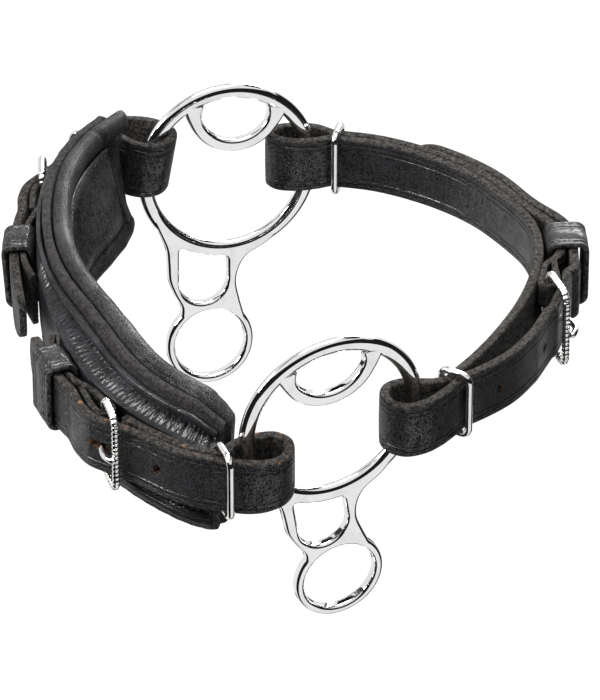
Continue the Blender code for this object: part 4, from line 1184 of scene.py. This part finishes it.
def lining_ring(share, left, station):
    """Thin smooth lining, its edge turned under, with long upright wrinkles."""
    back = -shared(COVER_CROWN, share) - BASE_THICK - 2 * LAYER_GAP - middle_depth(share)
    high = LINING_HALF - GAP
    front = back - LINING_THICK
    ring = [(back, 0.0), (back, high - 0.5), (back - 0.6, high), (front + 0.35, high - 0.2)]
    ring += [(front, high - 0.9), (front + 0.3, high - PANEL_SEAM_IN), (front, high - 2.9)]
    lower = [(d, -h) for d, h in reversed(ring[1:])]
    middle = []
    for h in (11.5, 9.5, 7.0, 4.5, 2.0, 0.0, -2.0, -4.5, -7.0, -9.5, -11.5):
        bow = 1.5 * math.sin(0.12 * h + 0.9 * wobble(station * 0.05)) + 0.05 * h
        line_up = math.sin(2.1 * (station + bow) + 2.0 * wobble((station + bow) * 0.11))
        ridge = 0.38 * (1 - 2 * abs(line_up) ** 0.6) + 0.16 * wobble((station + bow) * 0.65, 1.0)
        middle.append((front - ridge * min(1.0, left / 10.0) * (1 - (h / high) ** 4) + 0.1, h))
    return closed_ring(ring + middle + lower)


def settle(obj, body, slot, *nodes):
    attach(obj, body)
    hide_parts(*nodes)
    return obj


def stitches(name, rows, made_of, long=2.0, gap=0.9, radius=0.34):
    """Short thread stitches along a path of (place, outward) rows, each sunk a little at its two ends."""
    places = np.array([row[0] for row in rows])
    outs = np.array([row[1] for row in rows])
    run = run_along(places)
    made = []
    start = 0.6
    while start + long < run[-1]:
        at = start + long * np.array([0.0, 0.12, 0.5, 0.88, 1.0])
        line = np.column_stack([np.interp(at, run, places[:, axis]) for axis in range(3)])
        out = np.array([np.interp(start + long / 2, run, outs[:, axis]) for axis in range(3)])
        lift = radius * np.array([-1.2, -0.1, 0.35, -0.1, -1.2])
        line = line + np.outer(lift, out)
        side = unit(np.cross(line[-1] - line[0], out))
        turns = np.linspace(0, 2 * math.pi, 7)
        grid = np.empty((5, 7, 3))
        for index, full in enumerate((0.55, 0.95, 1.0, 0.95, 0.55)):
            ring = np.outer(np.cos(turns), side) + np.outer(np.sin(turns), out)
            grid[index] = line[index] + radius * full * ring
        made.append(skin(f"{name}_{len(made)}", grid, made_of, angle=70.0))
        start += long + gap
    deselect()
    for piece in made:
        piece.select_set(True)
    bpy.context.view_layer.objects.active = made[0]
    bpy.ops.object.join()
    made[0].name = made[0].data.name = name
    return made[0]


def panel_seam(line, made_of):
    """Threads round the lining on the pad's inner side."""
    first = PAD_FIRST + PAD_CHANNEL + PANEL_SEAM_IN + GAP
    last = line.length - PAD_LAST - PAD_CHANNEL - PANEL_SEAM_IN - GAP
    high = LINING_HALF - GAP - PANEL_SEAM_IN
    corners = [(first, high), (last, high), (last, -high), (first, -high), (first, high)]
    trail = [corners[0]]
    for start, end, count in zip(corners, corners[1:], (120, 20, 120, 20)):
        trail += list(np.linspace(start, end, count)[1:])
    rows = []
    for station, h in trail:
        share = station / line.length
        back = -shared(COVER_CROWN, share) - BASE_THICK - 2 * LAYER_GAP - middle_depth(share) - LINING_THICK
        places, out = nose_points(line, station, np.array([back + 0.3]), np.array([h]))
        rows.append((places[0], -out))
    return stitches("stitches_panel", rows, made_of)


def noseband(line, stuff):
    last = line.length
    base = band("band_base", line, BASE_FIRST, last - BASE_LAST, base_ring, stuff["base"])
    settle(base, "noseband", "base_leather", "nose_base")
    ends = BASE_FIRST + COVER_STEP, last - BASE_LAST - COVER_STEP
    cover = band("band_cover", line, *ends, cover_ring, stuff["cover"], 0.42, 75.0)
    settle(cover, "noseband", "soft_leather", "nose_cover")
    pad = band("band_pad", line, PAD_FIRST, last - PAD_LAST, pad_ring, stuff["soft"], 0.8, 70.0, True)
    settle(pad, "noseband", "soft_leather", "nose_pad")
    ends = PAD_FIRST + PAD_CHANNEL + GAP, last - PAD_LAST - PAD_CHANNEL - GAP
    lining = band("band_lining", line, *ends, lining_ring, stuff["lining"], 0.4, 75.0)
    settle(lining, "noseband", "lining_leather", "nose_lining")
    settle(panel_seam(line, stuff["thread"]), "noseband", "soft_leather")


def crossing(radius, other_centre, other_radius):
    """Angles, about the origin and about the other centre, where two circles meet on each side."""
    far = math.hypot(*other_centre)
    along = (radius ** 2 - other_radius ** 2 + far ** 2) / (2 * far)
    wide = math.sqrt(radius ** 2 - along ** 2)
    x0, y0 = other_centre[0] / far, other_centre[1] / far
    made = []
    for side in (1, -1):
        x = x0 * along + side * y0 * wide
        y = y0 * along - side * x0 * wide
        own = math.degrees(math.atan2(y, x))
        other = math.degrees(math.atan2(y - other_centre[1], x - other_centre[0]))
        made.append((own, other, (x, y)))
    return made


def corner_between(a, corner, b, steps=8):
    """Points of a soft corner from a to b that heads for the corner."""
    made = []
    for k in range(1, steps):
        t = k / steps
        shares = ((1 - t) ** 2, 2 * t * (1 - t), t * t)
        made.append(tuple(np.dot(shares, (a, corner, b))))
    return made


def smooth_run(points):
    return [tuple(point) for point in through(points, 1.2)]


def plate_outline():
    """The flat foot of the cheek: neck and small ring, its top edge buried in the big ring."""
    small = arc(EYE_CENTRE, EYE_OUTER, 132, 398)
    low, high = FOOT_BURIED
    left_top = [on_circle(high, 208), on_circle(RING_OUTER, 219)]
    right_top = [on_circle(RING_OUTER, -65), on_circle(high, -54)]
    left = smooth_run([*left_top, *reversed(NECK_LEFT), small[0]])[:-1]
    right = smooth_run([small[-1], *reversed(NECK_RIGHT), *right_top])[1:]
    return arc((0, 0), low, -54, -152) + left + small + right


def slot_band(made_of):
    """The bowed band under the slot, flared where its two ends run into the big ring."""
    bow = (BAND_RADIUS + SLOT_RADIUS) / 2
    right, left = crossing(RING_INNER + 1.6, SLOT_CENTRE, bow)
    path = np.array(arc(SLOT_CENTRE, bow, right[1], left[1] - 360, 1.5))
    heading = unit(np.gradient(path, axis=0))
    rows = []
    for (x, y), (along_x, along_y) in zip(path, heading):
        flare = 1.5 * min(1.0, max(0.0, math.hypot(x, y) - 23.0) / 8.0) ** 2
        half = (BAND_RADIUS - SLOT_RADIUS) / 2 + flare
        section = rounded_box(-half, half, PLATE_THICK / 2, PLATE_ROUND, 6)
        rows.append([(x - along_y * side, y + along_x * side, up) for side, up in [*section, section[0]]])
    return skin("band", np.array(rows), made_of)


def neck_opening():
    left, right = NECK_WINDOW_X - NECK_WINDOW_HALF, NECK_WINDOW_X + NECK_WINDOW_HALF
    left_top = -math.sqrt(RING_OUTER ** 2 - left ** 2)
    right_top = -math.sqrt(RING_OUTER ** 2 - right ** 2)
    first = math.degrees(math.atan2(left_top, left)) + 4
    last = math.degrees(math.atan2(right_top, right)) - 4
    top = arc((0, 0), RING_OUTER, first, last)
    foot = arc((NECK_WINDOW_X, NECK_WINDOW_Y), NECK_WINDOW_HALF, 0, -180)
    right_side = [(right, right_top - 2.4)]
    left_side = [(left, left_top - 2.4)]
    made = top + corner_between(top[-1], (right, right_top), right_side[0]) + right_side + foot + left_side
    return made + corner_between(left_side[0], (left, left_top), top[0])


def cheek_axes(pose):
    """Centre of the big ring, then the plate's own right, up and front directions."""
    centre, yaw, lean, roll = pose
    yaw, lean, roll = math.radians(yaw), math.radians(lean), math.radians(roll)
    up = Vector((0, 0, 1))
    right = Vector((math.cos(yaw), math.sin(yaw), 0))
    flat = Vector((math.sin(yaw), -math.cos(yaw), 0))
    front = flat * math.cos(lean) + up * math.sin(lean)
    high = up * math.cos(lean) - flat * math.sin(lean)
    across = right * math.cos(roll) + high * math.sin(roll)
    upward = high * math.cos(roll) - right * math.sin(roll)
    return Vector(centre), across, upward, front


def cast_plate(name, outlines):
    """A flat casting with full round edges; the first outline is outside, the others are openings."""
    shape = bpy.data.curves.new(name, "CURVE")
    shape.dimensions = "2D"
    shape.fill_mode = "BOTH"
    for outline in outlines:
        spline = shape.splines.new("POLY")
        spline.points.add(len(outline) - 1)
        spline.use_cyclic_u = True
        for point, (x, y) in zip(spline.points, outline):
            point.co = (x * MM, y * MM, 0, 1)
    shape.extrude = (PLATE_THICK / 2 - PLATE_ROUND) * MM
    shape.bevel_depth = PLATE_ROUND * MM
    shape.bevel_resolution = 6
    shape.offset = -PLATE_ROUND * MM
    obj = bpy.data.objects.new(name, shape)
    bpy.context.scene.collection.objects.link(obj)
    pick(obj)
    bpy.ops.object.convert(target="MESH")
    clean(obj, 2e-5)
    return obj


def flat_cheek(stuff):
    """The cast cheek flat on the bench: an oval-section ring, with its foot and slot band grown onto it."""
    deselect()
    middle, half = (RING_OUTER + RING_INNER) / 2, (RING_OUTER - RING_INNER) / 2
    bpy.ops.mesh.primitive_torus_add(
        major_radius=middle * MM, minor_radius=half * MM, major_segments=144, minor_segments=32
    )
    ring = bpy.context.object
    flatter = (PLATE_THICK / 2 + 0.04) / half
    edit(ring, (bpy.ops.transform.resize, {"value": (1.0, 1.0, flatter)}))
    foot = cast_plate("foot", [plate_outline(), neck_opening(), arc(EYE_CENTRE, EYE_INNER, 0, 357.5)])
    for grown in (foot, slot_band(stuff["chrome"])):
        joined(ring, grown, "UNION", "MANIFOLD")
    clean(ring, 5e-6)
    ring.data.materials.clear()
    ring.data.materials.append(stuff["chrome"])
    return ring


def cheeks(stuff):
    plate = flat_cheek(stuff)
    for side, pose in (("far", CHEEK_FAR), ("near", CHEEK_NEAR)):
        made = plate.copy()
        made.data = plate.data.copy()
        made.name = f"ring_cheek_{side}"
        made.data.name = made.name
        bpy.context.scene.collection.objects.link(made)
        centre, across, upward, front = cheek_axes(pose)
        for vertex in made.data.vertices:
            x, y, z = vertex.co
            vertex.co = centre * MM + across * x + upward * y + front * z
        pick(made)
        bpy.ops.object.shade_smooth_by_angle(angle=math.radians(50))
        even = made.modifiers.new("even", "WEIGHTED_NORMAL")
        even.keep_sharp = True
        bpy.ops.object.modifier_apply(modifier=even.name)
        settle(made, f"{side}_cheek", "chrome", f"cheek_{side}")
    bpy.data.objects.remove(plate, do_unlink=True)


def dark_cards(tree):
    """1 where the metal mirrors a dark card and 0 where it mirrors the white room."""
    where = node(tree, "ShaderNodeTexCoord").outputs["Generated"]
    axes = node(tree, "ShaderNodeSeparateXYZ", Vector=where).outputs
    turn = sums(tree, "DIVIDE", sums(tree, "ARCTAN2", axes["Y"], axes["X"]), 2 * math.pi)
    under_lamps = ranged(tree, axes["Z"], 0.45, 0.5, 1.0, 0.0)
    cards = [times(tree, within(tree, turn, *ends, 0.008), under_lamps) for ends in CARDS]
    for way, *ends in BANDS:
        facing = ranged(tree, times(tree, axes["Y"], way), -0.05, 0.05)
        cards.append(times(tree, within(tree, axes["Z"], *ends, 0.012), facing))
    behind = times(tree, ranged(tree, axes["Y"], 0.64, 0.7), ranged(tree, axes["Z"], -0.25, -0.2, 1.0, 0.0))
    narrow = ranged(tree, sums(tree, "ABSOLUTE", axes["X"]), 0.3, 0.36, 1.0, 0.0)
    dark = times(tree, behind, narrow)
    for card in cards:
        dark = sums(tree, "MAXIMUM", dark, card)
    return dark


def studio_world():
    """White to the camera; soft grey light; to the metal a white room with dark cards between its lamps."""
    world = bpy.data.worlds.new("studio")
    bpy.context.scene.world = world
    world.use_nodes = True
    tree = world.node_tree
    tree.nodes.clear()
    end = tree.nodes.new("ShaderNodeOutputWorld")
    room = mixed(tree, dark_cards(tree), ROOM_WHITE, ROOM_DARK)
    skies = []
    for colour, strength in (((1, 1, 1), AMBIENT), (room, 1.0), ((1, 1, 1), 1.0)):
        skies.append(node(tree, "ShaderNodeBackground", Color=colour, Strength=strength).outputs[0])
    ambient, mirror, plain = skies
    paths = tree.nodes.new("ShaderNodeLightPath").outputs
    lit = mixed_shaders(tree, paths["Is Glossy Ray"], ambient, mirror)
    put(tree, end.inputs[0], mixed_shaders(tree, paths["Is Camera Ray"], lit, plain))


def pale_floor(lowest):
    """A pale floor just under the small rings; to the camera most of it is plain white."""
    deselect()
    bpy.ops.mesh.primitive_plane_add(size=6.0, location=(0, 0.5, lowest - 0.002))
    floor = bpy.context.object
    floor.name = "floor"
    made, tree, shader = new_material("pale_floor")
    feed(tree, shader, Base_Color=(0.9, 0.9, 0.9), Roughness=0.9)
    white = node(tree, "ShaderNodeEmission", Color=(1, 1, 1), Strength=1.0)
    paths = tree.nodes.new("ShaderNodeLightPath").outputs
    seen = sums(tree, "MAXIMUM", paths["Is Camera Ray"], paths["Is Glossy Ray"])
    look = mixed_shaders(tree, times(tree, seen, 0.86), shader.outputs[0], white.outputs[0])
    put(tree, tree.nodes["Material Output"].inputs[0], look)
    floor.data.materials.append(made)
    floor.visible_glossy = False


def lamp(name, place, size, power):
    """A soft lamp that points at the middle of the loop."""
    deselect()
    bpy.ops.object.light_add(type="AREA", location=place)
    made = bpy.context.object
    made.name = name
    made.data.shape = "RECTANGLE"
    made.data.size, made.data.size_y = size
    made.data.energy = power
    made.rotation_euler = (-Vector(place)).to_track_quat("-Z", "Y").to_euler()


def studio(lowest):
    studio_world()
    pale_floor(lowest)
    for values in LAMPS:
        lamp(*values)


def camera():
    deselect()
    angle = math.radians(CAMERA_HEIGHT_ANGLE)
    aim = Vector(CAMERA_AIM) * MM
    back = Vector((0, -math.cos(angle), math.sin(angle))) * CAMERA_AWAY * MM
    bpy.ops.object.camera_add(location=aim + back, rotation=(math.pi / 2 - angle, 0, 0))
    made = bpy.context.object
    made.data.sensor_fit = "VERTICAL"
    made.data.sensor_height = CAMERA_SENSOR
    made.data.lens = CAMERA_LENS
    made.data.clip_start = 0.1
    made.data.clip_end = 30
    bpy.context.scene.camera = made


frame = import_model()
cad_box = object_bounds()
camera()
finishes = make_materials()
nose_plan = Line(NOSE_LINE, NOSE_RISE, BELT_LEAN)
noseband(nose_plan, finishes)
for belt_side in ("near", "far"):
    nose_belt(belt_side, nose_plan, finishes)
curb(Line(CURB_LINE, CURB_RISE), finishes)
cheeks(finishes)
studio(cad_box[0].z)
bpy.context.scene.view_settings.view_transform = "Standard"
deselect()
